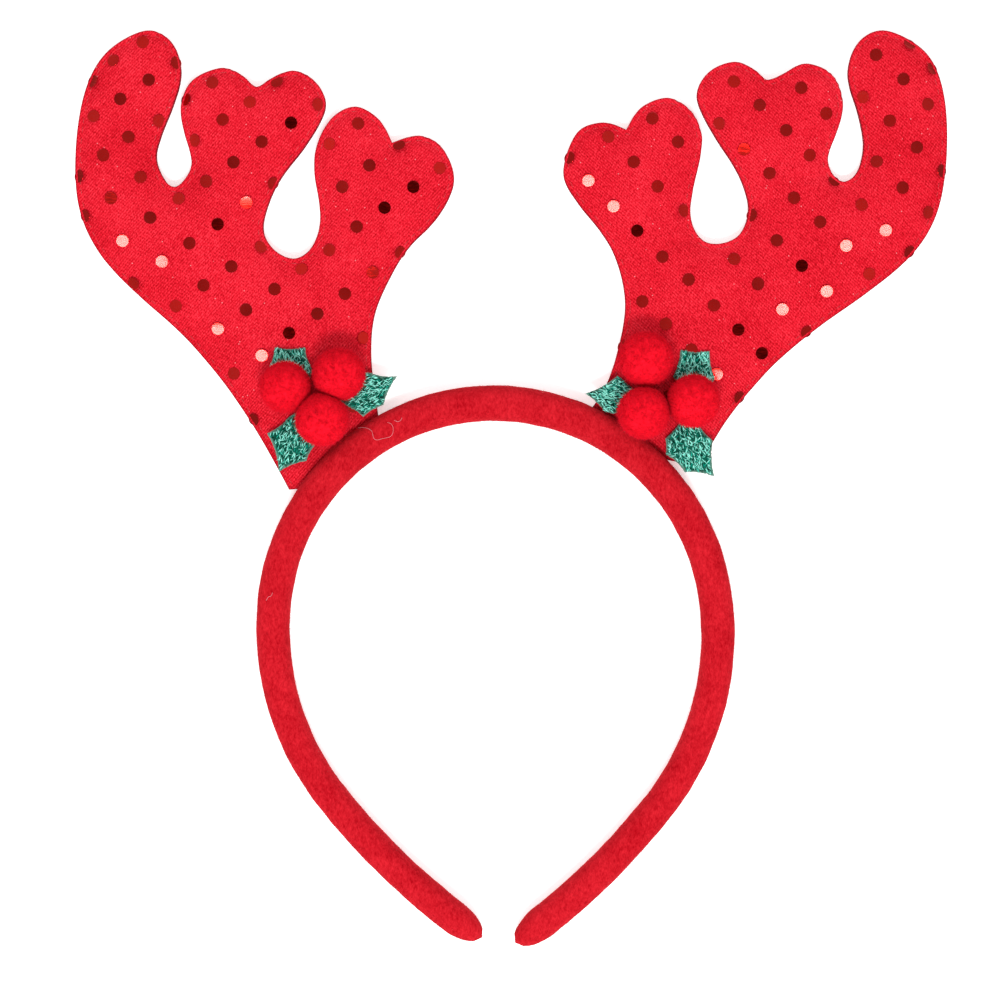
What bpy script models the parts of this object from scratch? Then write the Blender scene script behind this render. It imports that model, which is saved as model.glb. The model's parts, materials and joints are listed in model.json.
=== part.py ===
"""Reindeer antler headband: a felt-covered band, two padded antlers, holly leaves and pompoms.

The headband lies on its back as a shop photographs it. X runs across it, Y from the tips of the band to the
antlers, and Z up. Shapes are worked out in millimetres from the crown of the band, u outward from the middle and
v up, and the meshes are written in metres. The origin is the bottom centre of the whole headband.
"""

import math

import bmesh
import bpy
import numpy as np
from mathutils import Vector
from mathutils.geometry import delaunay_2d_cdt

MM = 0.001
GAP = 0.3  # between pieces that touch on the real headband
HALF_GAP = GAP / 2

# Each side's sign in X.
SIDES = {"left": -1, "right": 1}

# The band: felt over padding, a little thicker at the crown than along the legs.
BAND_HEIGHT = 10.0
BAND_HALF_AT_CROWN = 5.17
BAND_HALF_AT_LEG = 4.71
BAND_TAPER_LENGTH = 141.0
BAND_STATION = 6.0
BAND_TIP_LENGTH = 10.0
# How far each station of the rounded tip stands from its end.
BAND_TIP_STATIONS = (10.0, 7.5, 5.2, 3.2, 1.6, 0.6)
# (radius, turn in degrees) of each arc of the centre line, from the crown to the tip.
BAND_ARCS = {
    "left": ((62.2, 84.9), (76.9, 43.6), (198.3, 16.8)),
    "right": ((63.3, 81.3), (78.0, 47.1), (199.1, 16.1)),
}
# A quarter of the band's cross-section: (share of half the thickness, share of half the height).
BAND_SECTION = ((1.0, 0.25), (0.87, 0.60), (0.60, 0.87), (0.25, 1.0))

# The antlers: two panels each, sewn along a flat hem and stuffed between.
ANTLER_MIDDLE = 3.0
PANEL_HEM = 1.05
PANEL_STUFFED = 2.85
STUFFING_SHOULDER = 9.0
HEM_WIDTH = 1.3
OUTLINE_TOLERANCE = 0.13
OUTLINE_LONGEST = 6.0
PANEL_RING = 3.0
PANEL_LATTICE = 5.5
FLAT_NEAR_BAND = 1.0
BAND_LINE_STEP = 4.0
SLOT_CLEARANCE = 0.5

# The antlers' pattern as each one came out: (place, left u, left v, right u, right v).
ANTLER_OUTLINE = (
    ("outer base corner", 57.8, -24.5, 58.0, -17.7),
    ("outer edge 1", 61.8, -17.1, 61.9, -11.5),
    ("outer edge 2", 66.6, -8.7, 67.9, -2.4),
    ("outer edge 3", 75.9, 5.2, 79.2, 10.6),
    ("outer edge 4", 87.5, 18.8, 91.9, 21.3),
    ("outer edge 5", 99.7, 29.8, 105.8, 31.2),
    ("outer edge 6", 111.0, 41.7, 118.8, 42.3),
    ("outer edge 7", 117.2, 55.0, 125.9, 54.7),
    ("outermost", 118.2, 71.7, 128.4, 71.7),
    ("tine back", 115.5, 88.4, 127.3, 88.4),
    ("tine shoulder", 109.3, 99.4, 122.2, 99.4),
    ("tine top", 98.5, 105.4, 111.2, 105.4),
    ("tine inner shoulder", 91.2, 102.3, 103.5, 102.3),
    ("tine inner side", 88.4, 93.8, 100.4, 93.2),
    ("tine throat", 90.6, 84.4, 103.0, 83.0),
    ("slot 1 outer wall", 95.3, 71.1, 104.8, 73.4),
    ("slot 1 outer foot", 93.4, 63.8, 103.2, 65.8),
    ("slot 1 bottom", 90.3, 61.2, 99.6, 62.7),
    ("slot 1 inner foot", 87.2, 63.6, 96.4, 64.4),
    ("slot 1 inner wall", 85.4, 68.3, 94.7, 69.2),
    ("heart 1 waist", 87.5, 76.5, 97.0, 76.0),
    ("heart 1 side", 88.4, 84.4, 99.0, 84.4),
    ("heart 1 shoulder", 85.0, 91.5, 96.2, 92.7),
    ("heart 1 crown a", 76.5, 94.9, 88.5, 96.1),
    ("heart 1 notch side a", 70.2, 92.1, 82.0, 93.2),
    ("heart 1 notch", 67.1, 89.5, 77.5, 91.5),
    ("heart 1 notch side b", 64.0, 91.2, 74.7, 93.8),
    ("heart 1 crown b", 56.9, 94.1, 68.4, 96.6),
    ("heart 1 far shoulder", 50.4, 91.0, 60.8, 93.5),
    ("heart 1 far side", 47.5, 83.6, 57.7, 86.1),
    ("heart 1 flank", 53.3, 72.6, 63.3, 74.5),
    ("slot 2 throat", 61.2, 61.8, 69.3, 64.9),
    ("slot 2 wall a", 65.1, 50.2, 72.2, 55.3),
    ("slot 2 foot a", 62.3, 43.7, 69.8, 47.9),
    ("slot 2 bottom", 56.4, 40.9, 63.9, 45.1),
    ("slot 2 foot b", 51.3, 44.3, 58.5, 46.8),
    ("slot 2 wall b", 49.0, 52.5, 55.8, 54.7),
    ("heart 2 waist", 50.7, 66.1, 58.9, 71.7),
    ("heart 2 side", 49.6, 74.0, 58.5, 77.9),
    ("heart 2 shoulder", 45.3, 81.1, 55.4, 83.3),
    ("heart 2 crown a", 38.8, 83.9, 49.2, 86.4),
    ("heart 2 notch side a", 32.3, 80.2, 41.8, 83.6),
    ("heart 2 notch", 28.6, 73.7, 37.6, 77.4),
    ("heart 2 crown b", 21.0, 75.7, 31.1, 79.4),
    ("heart 2 far shoulder", 14.5, 72.3, 23.7, 76.5),
    ("heart 2 far side", 11.1, 62.9, 19.8, 65.5),
    ("heart 2 flank", 15.9, 52.5, 23.7, 57.0),
    ("inner edge 1", 25.2, 42.3, 33.3, 44.0),
    ("inner edge 2", 32.9, 27.3, 37.3, 29.3),
    ("inner edge 3", 34.6, 15.1, 35.3, 15.1),
    ("inner edge 4", 33.7, 4.4, 31.6, 4.4),
    ("inner base corner", 32.3, -5.8, 27.1, -2.4),
    ("tab 1", 39.4, -11.2, 32.2, -6.4),
    ("tab 2", 46.8, -18.0, 39.0, -10.9),
    ("tab 3", 53.3, -24.2, 45.8, -14.9),
)
CORNERS = ("outer base corner", "heart 2 notch", "inner base corner", "tab 1", "tab 2", "tab 3")
SLOT_RUN = ("inner edge 4", "inner base corner", "tab 1", "tab 2", "tab 3", "outer base corner", "outer edge 1")

# The holly leaves: the corners (u, v) of each, the first and last ones hidden below a pompom, and how far the edge
# between two points of the leaf is hollowed.
LEAF_THICK = 1.0
LEAF_BOTTOM = 6.3
LEAF_HOLLOW = 0.06
LEAF_EDGE_STEPS = 4
LEAVES = {
    "holly_left_upper": (-1, (-58.9, 2.7), (-64.0, 8.7), (-61.6, 15.6), (-53.1, 15.6), (-50.9, 9.1), (-53.0, 3.5)),
    "holly_left_inner": (-1, (-41.7, 7.5), (-35.4, 8.6), (-27.0, 7.5), (-30.9, -0.6), (-36.7, -4.0), (-40.0, -1.6),
                         (-45.1, 1.8)),
    "holly_left_lower": (-1, (-50.1, -0.2), (-57.7, -4.2), (-63.8, -8.6), (-60.4, -19.5), (-52.7, -16.4),
                         (-50.7, -12.5), (-47.0, -5.8)),
    "holly_right_upper": (1, (53.4, 2.9), (50.7, 7.5), (52.8, 14.9), (61.0, 14.6), (62.5, 6.8), (59.7, 2.4)),
    "holly_right_inner": (1, (38.9, 4.4), (35.1, 7.7), (25.8, 2.6), (31.4, -2.6), (33.6, -3.1), (39.6, -3.0),
                          (43.8, 1.5)),
    "holly_right_lower": (1, (51.9, -6.7), (48.5, -10.2), (48.6, -14.5), (54.0, -19.6), (62.4, -20.9),
                          (61.9, -10.7), (57.4, -5.3), (54.8, -0.2)),
}

# The pompoms: (x, y, radius, extra height), with x and y from the crown. The one with no leaf below it sits lower.
POMPOM_BOTTOM = LEAF_BOTTOM + LEAF_THICK + GAP
POMPOM_SQUASHED = 1.5
POMPOM_VALLEY = 0.82
POMPOMS = {
    "pompom_left_outer": (-58.2, 4.2, 7.4, 0.0),
    "pompom_left_inner": (-43.2, 7.8, 7.6, 0.0),
    "pompom_left_lower": (-47.8, -4.9, 7.6, 1.5),
    "pompom_right_upper": (42.8, 12.1, 7.9, -1.3),
    "pompom_right_outer": (56.0, 0.3, 7.6, 0.0),
    "pompom_right_lower": (42.0, -3.1, 7.5, 1.2),
}

FELT_RED = (0.42, 0.012, 0.010, 1.0)
SEQUIN_RED = (0.55, 0.020, 0.022, 1.0)
POMPOM_RED = (0.47, 0.010, 0.010, 1.0)
HOLLY_GREEN = (0.02, 0.27, 0.17, 1.0)


def clear_scene():
    for obj in list(bpy.data.objects):
        bpy.data.objects.remove(obj, do_unlink=True)


def collection_named(name):
    found = bpy.data.collections.new(name)
    bpy.context.scene.collection.children.link(found)
    return found


def material(name, colour, roughness, metallic=0.0):
    made = bpy.data.materials.new(name)
    made.use_nodes = True
    shader = made.node_tree.nodes["Principled BSDF"]
    shader.inputs["Base Color"].default_value = colour
    shader.inputs["Roughness"].default_value = roughness
    shader.inputs["Metallic"].default_value = metallic
    made.diffuse_color = colour
    return made


def object_from(bm, name, origin, surface, collection):
    """An object whose origin stands at a point given in millimetres, from a bmesh in millimetres."""
    origin = Vector(origin)
    for vert in bm.verts:
        vert.co = (vert.co - origin) * MM
    bmesh.ops.recalc_face_normals(bm, faces=bm.faces)
    mesh = bpy.data.meshes.new(name)
    bm.to_mesh(mesh)
    bm.free()
    obj = bpy.data.objects.new(name, mesh)
    obj.location = origin * MM
    if surface:
        mesh.materials.append(surface)
    collection.objects.link(obj)
    return obj


def shade(obj, degrees):
    obj.data.shade_smooth()
    obj.data.set_sharp_from_angle(angle=math.radians(degrees))


# The band

def band_point(side, distance):
    """The centre line and its heading at a distance from the crown, in the (u, v) of one side."""
    place = np.zeros(2)
    heading = 0.0
    for radius, degrees in BAND_ARCS[side]:
        turn = min(math.radians(degrees), distance / radius)
        centre = place - radius * np.array((math.sin(heading), math.cos(heading)))
        heading += turn
        place = centre + radius * np.array((math.sin(heading), math.cos(heading)))
        distance -= turn * radius
    return place, heading


def band_length(side):
    return sum(radius * math.radians(degrees) for radius, degrees in BAND_ARCS[side])


def band_half(distance):
    share = min(1.0, distance / BAND_TAPER_LENGTH)
    return BAND_HALF_AT_CROWN + (BAND_HALF_AT_LEG - BAND_HALF_AT_CROWN) * share


def section_points():
    """The whole cross-section, counterclockwise from the outer side's lower corner."""
    quarter = list(BAND_SECTION)
    upper = quarter + [(-a, b) for a, b in reversed(quarter)]
    return upper + [(-a, -b) for a, b in upper]


def band_stations():
    """(side, distance) from the left tip to the right one."""
    runs = []
    for side in ("left", "right"):
        length = band_length(side)
        body = length - BAND_TIP_LENGTH - BAND_STATION / 2
        count = round(body / BAND_STATION)
        run = [(side, BAND_STATION / 2 + body * i / count) for i in range(count)]
        run += [(side, length - left) for left in BAND_TIP_STATIONS]
        runs.append(run)
    return runs[0][::-1] + runs[1]


def make_band(collection):
    bm = bmesh.new()
    section = section_points()
    rings = []
    for side, distance in band_stations():
        place, heading = band_point(side, distance)
        outward = np.array((math.sin(heading), math.cos(heading)))
        left = band_length(side) - distance
        swell = 1.0
        if left < BAND_TIP_LENGTH:
            swell = math.sqrt(1 - (1 - left / BAND_TIP_LENGTH) ** 2)
        half = band_half(distance) * swell
        ring = []
        for across, up in section:
            u, v = place + outward * half * across
            z = BAND_HEIGHT / 2 * (1 + up * swell)
            ring.append(bm.verts.new((SIDES[side] * u, v, z)))
        rings.append(ring)
    for ring, following in zip(rings, rings[1:]):
        for i in range(len(section)):
            j = (i + 1) % len(section)
            bm.faces.new((ring[i], ring[j], following[j], following[i]))
    bm.faces.new(rings[0][::-1])
    bm.faces.new(rings[-1])
    surface = material("red felt", FELT_RED, 0.95)
    band = object_from(bm, "felt_band", (0, 0, 0), surface, collection)
    shade(band, 60)
    return band


# The antlers

def catmull_rom(before, start, end, after, steps):
    """Points from the start up to the end, without the end."""
    found = []
    for i in range(steps):
        t = i / steps
        found.append(0.5 * (2 * start + (end - before) * t
                            + (2 * before - 5 * start + 4 * end - after) * t ** 2
                            + (3 * start - before - 3 * end + after) * t ** 3))
    return found


def pattern(side):
    """The pattern's places as {name: (u, v)}."""
    column = 1 if side == "left" else 3
    return {row[0]: np.array(row[column:column + 2]) for row in ANTLER_OUTLINE}


def simplified(points, tolerance):
    """The points of an open run that its shape needs, without the last one."""
    if len(points) < 3:
        return points[:-1]
    start, end = points[0], points[-1]
    along = end - start
    offsets = [abs(along[0] * (p - start)[1] - along[1] * (p - start)[0]) for p in points]
    worst = int(np.argmax(offsets))
    if offsets[worst] <= tolerance * np.linalg.norm(along):
        return [start]
    return simplified(points[:worst + 1], tolerance) + simplified(points[worst:], tolerance)


def outline(side):
    """The antler's edge as a closed polygon, with points close together only where it turns."""
    places = pattern(side)
    names = list(places)
    count = len(names)
    found = []
    for i, name in enumerate(names):
        following = names[(i + 1) % count]
        start, end = places[name], places[following]
        before = places[names[i - 1]]
        after = places[names[(i + 2) % count]]
        if name in CORNERS:
            before = start
        if following in CORNERS:
            after = end
        run = catmull_rom(before, start, end, after, 24) + [end]
        run = simplified(run, OUTLINE_TOLERANCE)
        run.append(end)
        for a, b in zip(run, run[1:]):
            pieces = max(1, math.ceil(np.linalg.norm(b - a) / OUTLINE_LONGEST))
            found += [a + (b - a) * k / pieces for k in range(pieces)]
    return np.array(found)


def distance_to(polygon, points):
    """How far each point stands from a closed polygon's edge."""
    starts = polygon
    along = np.roll(polygon, -1, axis=0) - starts
    offset = points[:, None, :] - starts[None]
    share = np.clip((offset * along).sum(-1) / (along ** 2).sum(-1), 0, 1)
    nearest = offset - share[..., None] * along
    return np.sqrt((nearest ** 2).sum(-1)).min(axis=1)


def inside(polygon, points):
    a = polygon[None]
    b = np.roll(polygon, -1, axis=0)[None]
    x, y = points[:, 0, None], points[:, 1, None]
    crosses = (a[..., 1] > y) != (b[..., 1] > y)
    with np.errstate(divide="ignore", invalid="ignore"):
        where = a[..., 0] + (y - a[..., 1]) * (b[..., 0] - a[..., 0]) / (b[..., 1] - a[..., 1])
    return (crosses & (x < where)).sum(axis=1) % 2 == 1


def past_band(side, points):
    """How far each point stands past the flat strip that runs beside the band's outer side."""
    radius = BAND_ARCS[side][0][0]
    return np.hypot(points[:, 0], points[:, 1] + radius) - radius - BAND_HALF_AT_CROWN - FLAT_NEAR_BAND


def panel_thickness(side, polygon, points):
    """The stuffed panel's thickness over each point: a flat hem, a round shoulder, then level."""
    edge = distance_to(polygon, points)
    share = np.clip(np.minimum(edge - HEM_WIDTH, past_band(side, points)) / STUFFING_SHOULDER, 0, 1)
    return PANEL_HEM + (PANEL_STUFFED - PANEL_HEM) * np.sqrt(1 - (1 - share) ** 2)


def ring_points(polygon):
    """Points set in from the edge, one beside each corner of the outline, where the antler is wide enough."""
    ahead = np.roll(polygon, -1, axis=0) - np.roll(polygon, 1, axis=0)
    ahead /= np.linalg.norm(ahead, axis=1)[:, None]
    inward = np.stack((-ahead[:, 1], ahead[:, 0]), axis=1)
    area = (polygon[:, 0] * np.roll(polygon[:, 1], -1) - np.roll(polygon[:, 0], -1) * polygon[:, 1]).sum()
    ring = polygon + inward * PANEL_RING * math.copysign(1, area)
    clear = inside(polygon, ring) & (distance_to(polygon, ring) > PANEL_RING * 0.93)
    chosen = []
    for point in ring[clear]:
        if all(np.hypot(*(point - other)) > PANEL_RING * 0.55 for other in chosen):
            chosen.append(point)
    return np.array(chosen)


def band_line_points(side, polygon):
    """Points along the line where the flat strip beside the band ends."""
    radius = BAND_ARCS[side][0][0]
    reach = radius + BAND_HALF_AT_CROWN + FLAT_NEAR_BAND
    angles = np.arange(0, math.pi / 2, BAND_LINE_STEP / reach)
    points = np.stack((reach * np.sin(angles), reach * np.cos(angles) - radius), axis=1)
    return points[inside(polygon, points) & (distance_to(polygon, points) > HEM_WIDTH)]


def lattice_points(side, polygon):
    """Points of an even triangular lattice well inside the outline and clear of the line beside the band."""
    low, high = polygon.min(axis=0), polygon.max(axis=0)
    rows = []
    step = PANEL_LATTICE * math.sqrt(3) / 2
    for i, v in enumerate(np.arange(low[1], high[1], step)):
        us = np.arange(low[0] + (i % 2) * PANEL_LATTICE / 2, high[0], PANEL_LATTICE)
        rows += [(u, v) for u in us]
    points = np.array(rows)
    clear = (distance_to(polygon, points) > PANEL_RING * 1.9) & (past_band(side, points) > PANEL_LATTICE / 2)
    return points[inside(polygon, points) & clear]


def make_panel(name, side, facing, surface, collection):
    """One padded panel. Facing is 1 for the front and -1 for the back."""
    polygon = outline(side)
    count = len(polygon)
    ring = ring_points(polygon)
    ring = ring[abs(past_band(side, ring)) > 1]
    points = np.vstack((polygon, ring, band_line_points(side, polygon), lattice_points(side, polygon)))
    thick = panel_thickness(side, polygon, points)
    edges = [(i, (i + 1) % count) for i in range(count)]
    _, _, faces, _, _, _ = delaunay_2d_cdt([Vector(p) for p in points], edges, [], 1, 1e-4)
    _, _, flat_faces, _, _, _ = delaunay_2d_cdt([Vector(p) for p in polygon], edges, [], 1, 1e-4)
    sign = SIDES[side]
    bm = bmesh.new()
    puffed = [bm.verts.new((sign * u, v, ANTLER_MIDDLE + facing * (HALF_GAP + t)))
              for (u, v), t in zip(points, thick)]
    flat = [bm.verts.new((sign * u, v, ANTLER_MIDDLE + facing * HALF_GAP)) for u, v in polygon]
    for face in faces:
        bm.faces.new([puffed[i] for i in face])
    for face in flat_faces:
        bm.faces.new([flat[i] for i in reversed(face)])
    for i, j in edges:
        bm.faces.new((flat[i], flat[j], puffed[j], puffed[i]))
    base = (pattern(side)["inner base corner"] + pattern(side)["outer base corner"]) / 2
    panel = object_from(bm, name, (sign * base[0], base[1], ANTLER_MIDDLE), surface, collection)
    shade(panel, 50)
    return panel


def slot_cutter(side, cutters):
    """The slot in the band's outer side that an antler's base is let into."""
    places = pattern(side)
    run = np.array([places[name] for name in SLOT_RUN])
    ahead = np.diff(run, axis=0)
    ahead /= np.linalg.norm(ahead, axis=1)[:, None]
    # The run goes round the base with the antler on its left, so its right side is the band's.
    away = np.stack((ahead[:, 1], -ahead[:, 0]), axis=1)
    if (away[2] * np.array((0.0, 1.0))).sum() > 0:
        away = -away
    grown = [run[0] + away[0] * SLOT_CLEARANCE]
    for i in range(1, len(run) - 1):
        middle = away[i - 1] + away[i]
        middle /= np.linalg.norm(middle)
        grown.append(run[i] + middle * SLOT_CLEARANCE / max(0.5, float(middle @ away[i])))
    grown.append(run[-1] + away[-1] * SLOT_CLEARANCE)
    low = ANTLER_MIDDLE - HALF_GAP - PANEL_HEM - GAP
    high = ANTLER_MIDDLE + HALF_GAP + PANEL_HEM + GAP
    bm = bmesh.new()
    sign = SIDES[side]
    face = bm.faces.new([bm.verts.new((sign * u, v, low)) for u, v in grown])
    raised = bmesh.ops.extrude_face_region(bm, geom=[face])["geom"]
    bmesh.ops.translate(bm, vec=(0, 0, high - low), verts=[v for v in raised if isinstance(v, bmesh.types.BMVert)])
    cutter = object_from(bm, "cutter_slot_" + side, (0, 0, 0), None, cutters)
    cutter.hide_render = True
    cutter.display_type = "WIRE"
    return cutter


# The holly leaves

def leaf_edge(corners):
    """The leaf's outline: the edges between its points are hollowed, the hidden ones are straight."""
    points = []
    corners = [np.array(c) for c in corners]
    middle = sum(corners) / len(corners)
    for i, start in enumerate(corners):
        end = corners[(i + 1) % len(corners)]
        hidden = i in (0, len(corners) - 2, len(corners) - 1)
        if hidden:
            points.append(start)
            continue
        away = np.array((-(end - start)[1], (end - start)[0]))
        if away @ (middle - start) < 0:
            away = -away
        for k in range(LEAF_EDGE_STEPS):
            t = k / LEAF_EDGE_STEPS
            points.append(start + (end - start) * t + away * LEAF_HOLLOW * 4 * t * (1 - t))
    return points


def make_leaf(name, surface, collection):
    side, *corners = LEAVES[name]
    origin = Vector((*((np.array(corners[0]) + np.array(corners[-1])) / 2), LEAF_BOTTOM + LEAF_THICK / 2))
    curve = bpy.data.curves.new(name, "CURVE")
    curve.dimensions = "2D"
    curve.fill_mode = "BOTH"
    curve.extrude = LEAF_THICK / 2 * MM
    points = leaf_edge(corners)
    spline = curve.splines.new("POLY")
    spline.points.add(len(points) - 1)
    for slot, (x, y) in zip(spline.points, points):
        slot.co = ((x - origin.x) * MM, (y - origin.y) * MM, 0, 1)
    spline.use_cyclic_u = True
    curve.materials.append(surface)
    leaf = bpy.data.objects.new(name, curve)
    leaf.location = origin * MM
    collection.objects.link(leaf)
    return leaf


# The pompoms

def pompom_centre(name):
    x, y, radius, lift = POMPOMS[name]
    return Vector((x, y, POMPOM_BOTTOM + lift + radius - POMPOM_SQUASHED))


def make_pompom(name, surface, collection):
    """A ball of pointed locks, flattened where it is glued down and where it meets its neighbours."""
    centre = pompom_centre(name)
    radius = POMPOMS[name][2]
    bm = bmesh.new()
    bmesh.ops.create_icosphere(bm, subdivisions=2, radius=radius * POMPOM_VALLEY)
    tips = bmesh.ops.poke(bm, faces=bm.faces[:])["verts"]
    for tip in tips:
        tip.co = tip.co.normalized() * radius
    bmesh.ops.translate(bm, vec=centre, verts=bm.verts)
    cut_flat(bm, Vector((0, 0, POMPOM_BOTTOM + POMPOMS[name][3])), Vector((0, 0, -1)))
    for other in POMPOMS:
        if other == name or POMPOMS[other][0] * POMPOMS[name][0] < 0:
            continue
        apart = pompom_centre(other) - centre
        reach = radius + POMPOMS[other][2]
        if apart.length < reach + GAP:
            meeting = (apart.length ** 2 + radius ** 2 - POMPOMS[other][2] ** 2) / (2 * apart.length)
            towards = apart.normalized()
            cut_flat(bm, centre + towards * (meeting - HALF_GAP), towards)
    pompom = object_from(bm, name, centre, surface, collection)
    shade(pompom, 80)
    return pompom


def cut_flat(bm, point, away):
    geometry = bm.verts[:] + bm.edges[:] + bm.faces[:]
    cut = bmesh.ops.bisect_plane(bm, geom=geometry, plane_co=point, plane_no=away, clear_outer=True, dist=0.0001)
    edges = [e for e in cut["geom_cut"] if isinstance(e, bmesh.types.BMEdge)]
    if edges:
        bmesh.ops.edgeloop_fill(bm, edges=edges)


def centre_on_origin(objects):
    """Moves everything so that the whole headband's bottom centre is the origin."""
    bpy.context.view_layer.update()
    corners = np.array([obj.matrix_world @ Vector(c) for obj in objects for c in obj.bound_box])
    low, high = corners.min(axis=0), corners.max(axis=0)
    shift = Vector((-(low[0] + high[0]) / 2, -(low[1] + high[1]) / 2, -low[2]))
    for obj in bpy.data.objects:
        obj.location += shift


def main():
    clear_scene()
    headband = collection_named("Reindeer antler headband")
    cutters = collection_named("Cutters")
    cutters.hide_render = True
    band = make_band(headband)
    pieces = [band]
    for side in SIDES:
        cut = band.modifiers.new("slot " + side, "BOOLEAN")
        cut.operation = "DIFFERENCE"
        cut.solver = "EXACT"
        cut.object = slot_cutter(side, cutters)
        for where, facing in (("front", 1), ("back", -1)):
            name = "antler_" + side + "_" + where
            surface = material("sequin knit " + side + " " + where, SEQUIN_RED, 0.45)
            pieces.append(make_panel(name, side, facing, surface, headband))
    for name in LEAVES:
        surface = material(name.replace("_", " "), HOLLY_GREEN, 0.35, 0.6)
        pieces.append(make_leaf(name, surface, headband))
    for name in POMPOMS:
        surface = material(name.replace("_", " "), POMPOM_RED, 0.95)
        pieces.append(make_pompom(name, surface, headband))
    centre_on_origin(pieces)


main()
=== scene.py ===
"""The looks of the reindeer antler headband, laid over its frame.

Two stuffed antlers of red sequin knit stand on a felt-covered band, each with three tinsel holly leaves
and three pompoms. The headband lies on its back, in the frame's own coordinates: X across, Y towards the
antlers, Z up. Shapes are worked out in millimetres and written to the meshes in metres.
"""

import json
import math

import bpy
import numpy as np
from bpy.props import FloatProperty, FloatVectorProperty, IntProperty, PointerProperty
from bpy.types import Operator, Panel, PropertyGroup
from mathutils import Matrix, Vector, noise
from mathutils.bvhtree import BVHTree
from mathutils.geometry import delaunay_2d_cdt


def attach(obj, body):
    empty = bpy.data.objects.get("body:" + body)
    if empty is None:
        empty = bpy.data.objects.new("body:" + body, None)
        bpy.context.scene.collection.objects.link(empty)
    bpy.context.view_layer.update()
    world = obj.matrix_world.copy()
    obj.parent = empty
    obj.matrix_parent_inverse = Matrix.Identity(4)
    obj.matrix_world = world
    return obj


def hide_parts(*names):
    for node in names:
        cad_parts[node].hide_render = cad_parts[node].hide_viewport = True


bl_info = {
    "name": "Reindeer antler headband",
    "version": (1, 0, 0),
    "blender": (4, 5, 0),
    "location": "View3D > Sidebar > Headband",
    "description": "Dresses the headband's frame with sequin knit, felt, tinsel leaves and pompoms",
    "category": "Object",
}

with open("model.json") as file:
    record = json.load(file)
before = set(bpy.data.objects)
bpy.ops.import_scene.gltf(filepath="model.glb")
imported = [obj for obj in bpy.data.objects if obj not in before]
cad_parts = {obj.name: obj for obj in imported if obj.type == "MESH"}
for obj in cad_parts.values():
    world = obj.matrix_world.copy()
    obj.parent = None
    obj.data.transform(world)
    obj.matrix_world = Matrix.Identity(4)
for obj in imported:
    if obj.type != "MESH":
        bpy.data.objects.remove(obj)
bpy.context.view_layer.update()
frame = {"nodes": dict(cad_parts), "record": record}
MM = 0.001

# Nothing sinks into the paper: the lowest that a small piece may reach.
LOWEST = 0.02

# The crown of the band's centre line, from the frame's mount below it. The mount is on a flat facet of the
# solid, which lies a little inside the round.
BAND_HALF_AT_CROWN = 5.17
SEAT_FACET_DEPTH = 0.03
HEAD_SEAT = next(m for m in frame["record"]["mounts"] if m["name"] == "head_seat")["pos_m"]
CROWN = np.array((HEAD_SEAT[0] / MM, HEAD_SEAT[1] / MM + BAND_HALF_AT_CROWN - SEAT_FACET_DEPTH))

# The band, as in its solid: (radius, turn in degrees) of each arc of the centre line.
BAND_ARCS = {
    "left": ((62.2, 84.9), (76.9, 43.6), (198.3, 16.8)),
    "right": ((63.3, 81.3), (78.0, 47.1), (199.1, 16.1)),
}
BAND_HALF_AT_LEG = 4.71
BAND_TAPER_LENGTH = 141.0
BAND_TIP_LENGTH = 10.0
BAND_HALF_HEIGHT = 5.0
BAND_SIDES = 44
BAND_STATION = 1.25
# How squarish the section is, from 2 for an ellipse, and how far the cover stays inside the solid.
BAND_SQUARENESS = 2.35
COVER_INSIDE = 0.12
# The slots for the antlers' bases: their levels, and how much larger than the base they are.
SLOT_BOTTOM, SLOT_TOP = 1.55, 4.45
SLOT_CLEARANCE = 0.35
SIDES = {"left": -1, "right": 1}

# The antlers: the middle between their panels, and the gap on each side of it.
ANTLER_MIDDLE = 3.0
HALF_GAP = 0.15
PANELS = [(side, where, facing) for side in SIDES for where, facing in (("front", 1), ("back", -1))]

# The seam: where the side of the cloth turns down, and the seeds of the two rows of stitches.
INNER_ROW = 0.35
STITCH_SEEDS = {"front": 10, "back": 9}

# The sequins: the middle of the lattice, the steps along its rows and across them, and how the cloth
# stretched them.
SEQUIN_ORIGIN = {"left": (-82.8, 74.9), "right": (82.2, 62.7)}
SEQUIN_ALONG = {"left": (7.84, 5.55), "right": (7.09, -6.99)}
SEQUIN_ACROSS = {"left": (11.44, -6.41), "right": (12.29, 5.32)}
SEQUIN_TWIST = {"left": (0.01, 0.08), "right": (0.03, 0.0)}
SEQUIN_BOW = {"left": (0.17, -0.07), "right": (-0.17, -0.08)}
# Sequins, by row and column, that lean to the softbox, half lean to it, or mirror the dark above the camera.
SEQUINS_LIT = {
    "left": ((-2, -1), (-2, 0), (-3, 2), (-3, 3)),
    "right": ((0, 2), (0, 1), (1, 0), (1, -1), (2, -3), (-5, -2), (-4, -2)),
}
SEQUINS_HALF_LIT = {
    "left": ((1, 0), (-1, -2), (-2, -2), (1, 3), (0, 1), (2, 3), (5, -1)),
    "right": ((-4, 1), (-4, 4), (-4, 6), (2, -1)),
}
SEQUINS_DARK = {
    "left": ((0, 0), (4, -1), (-2, 3), (4, 2), (3, 2)),
    "right": ((0, 0), (1, -2), (2, -2), (-3, -2)),
}
# How far the others are turned away from that dark, at least.
SEQUIN_TURNED_AWAY = {"left": 0.115, "right": 0.16}

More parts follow.
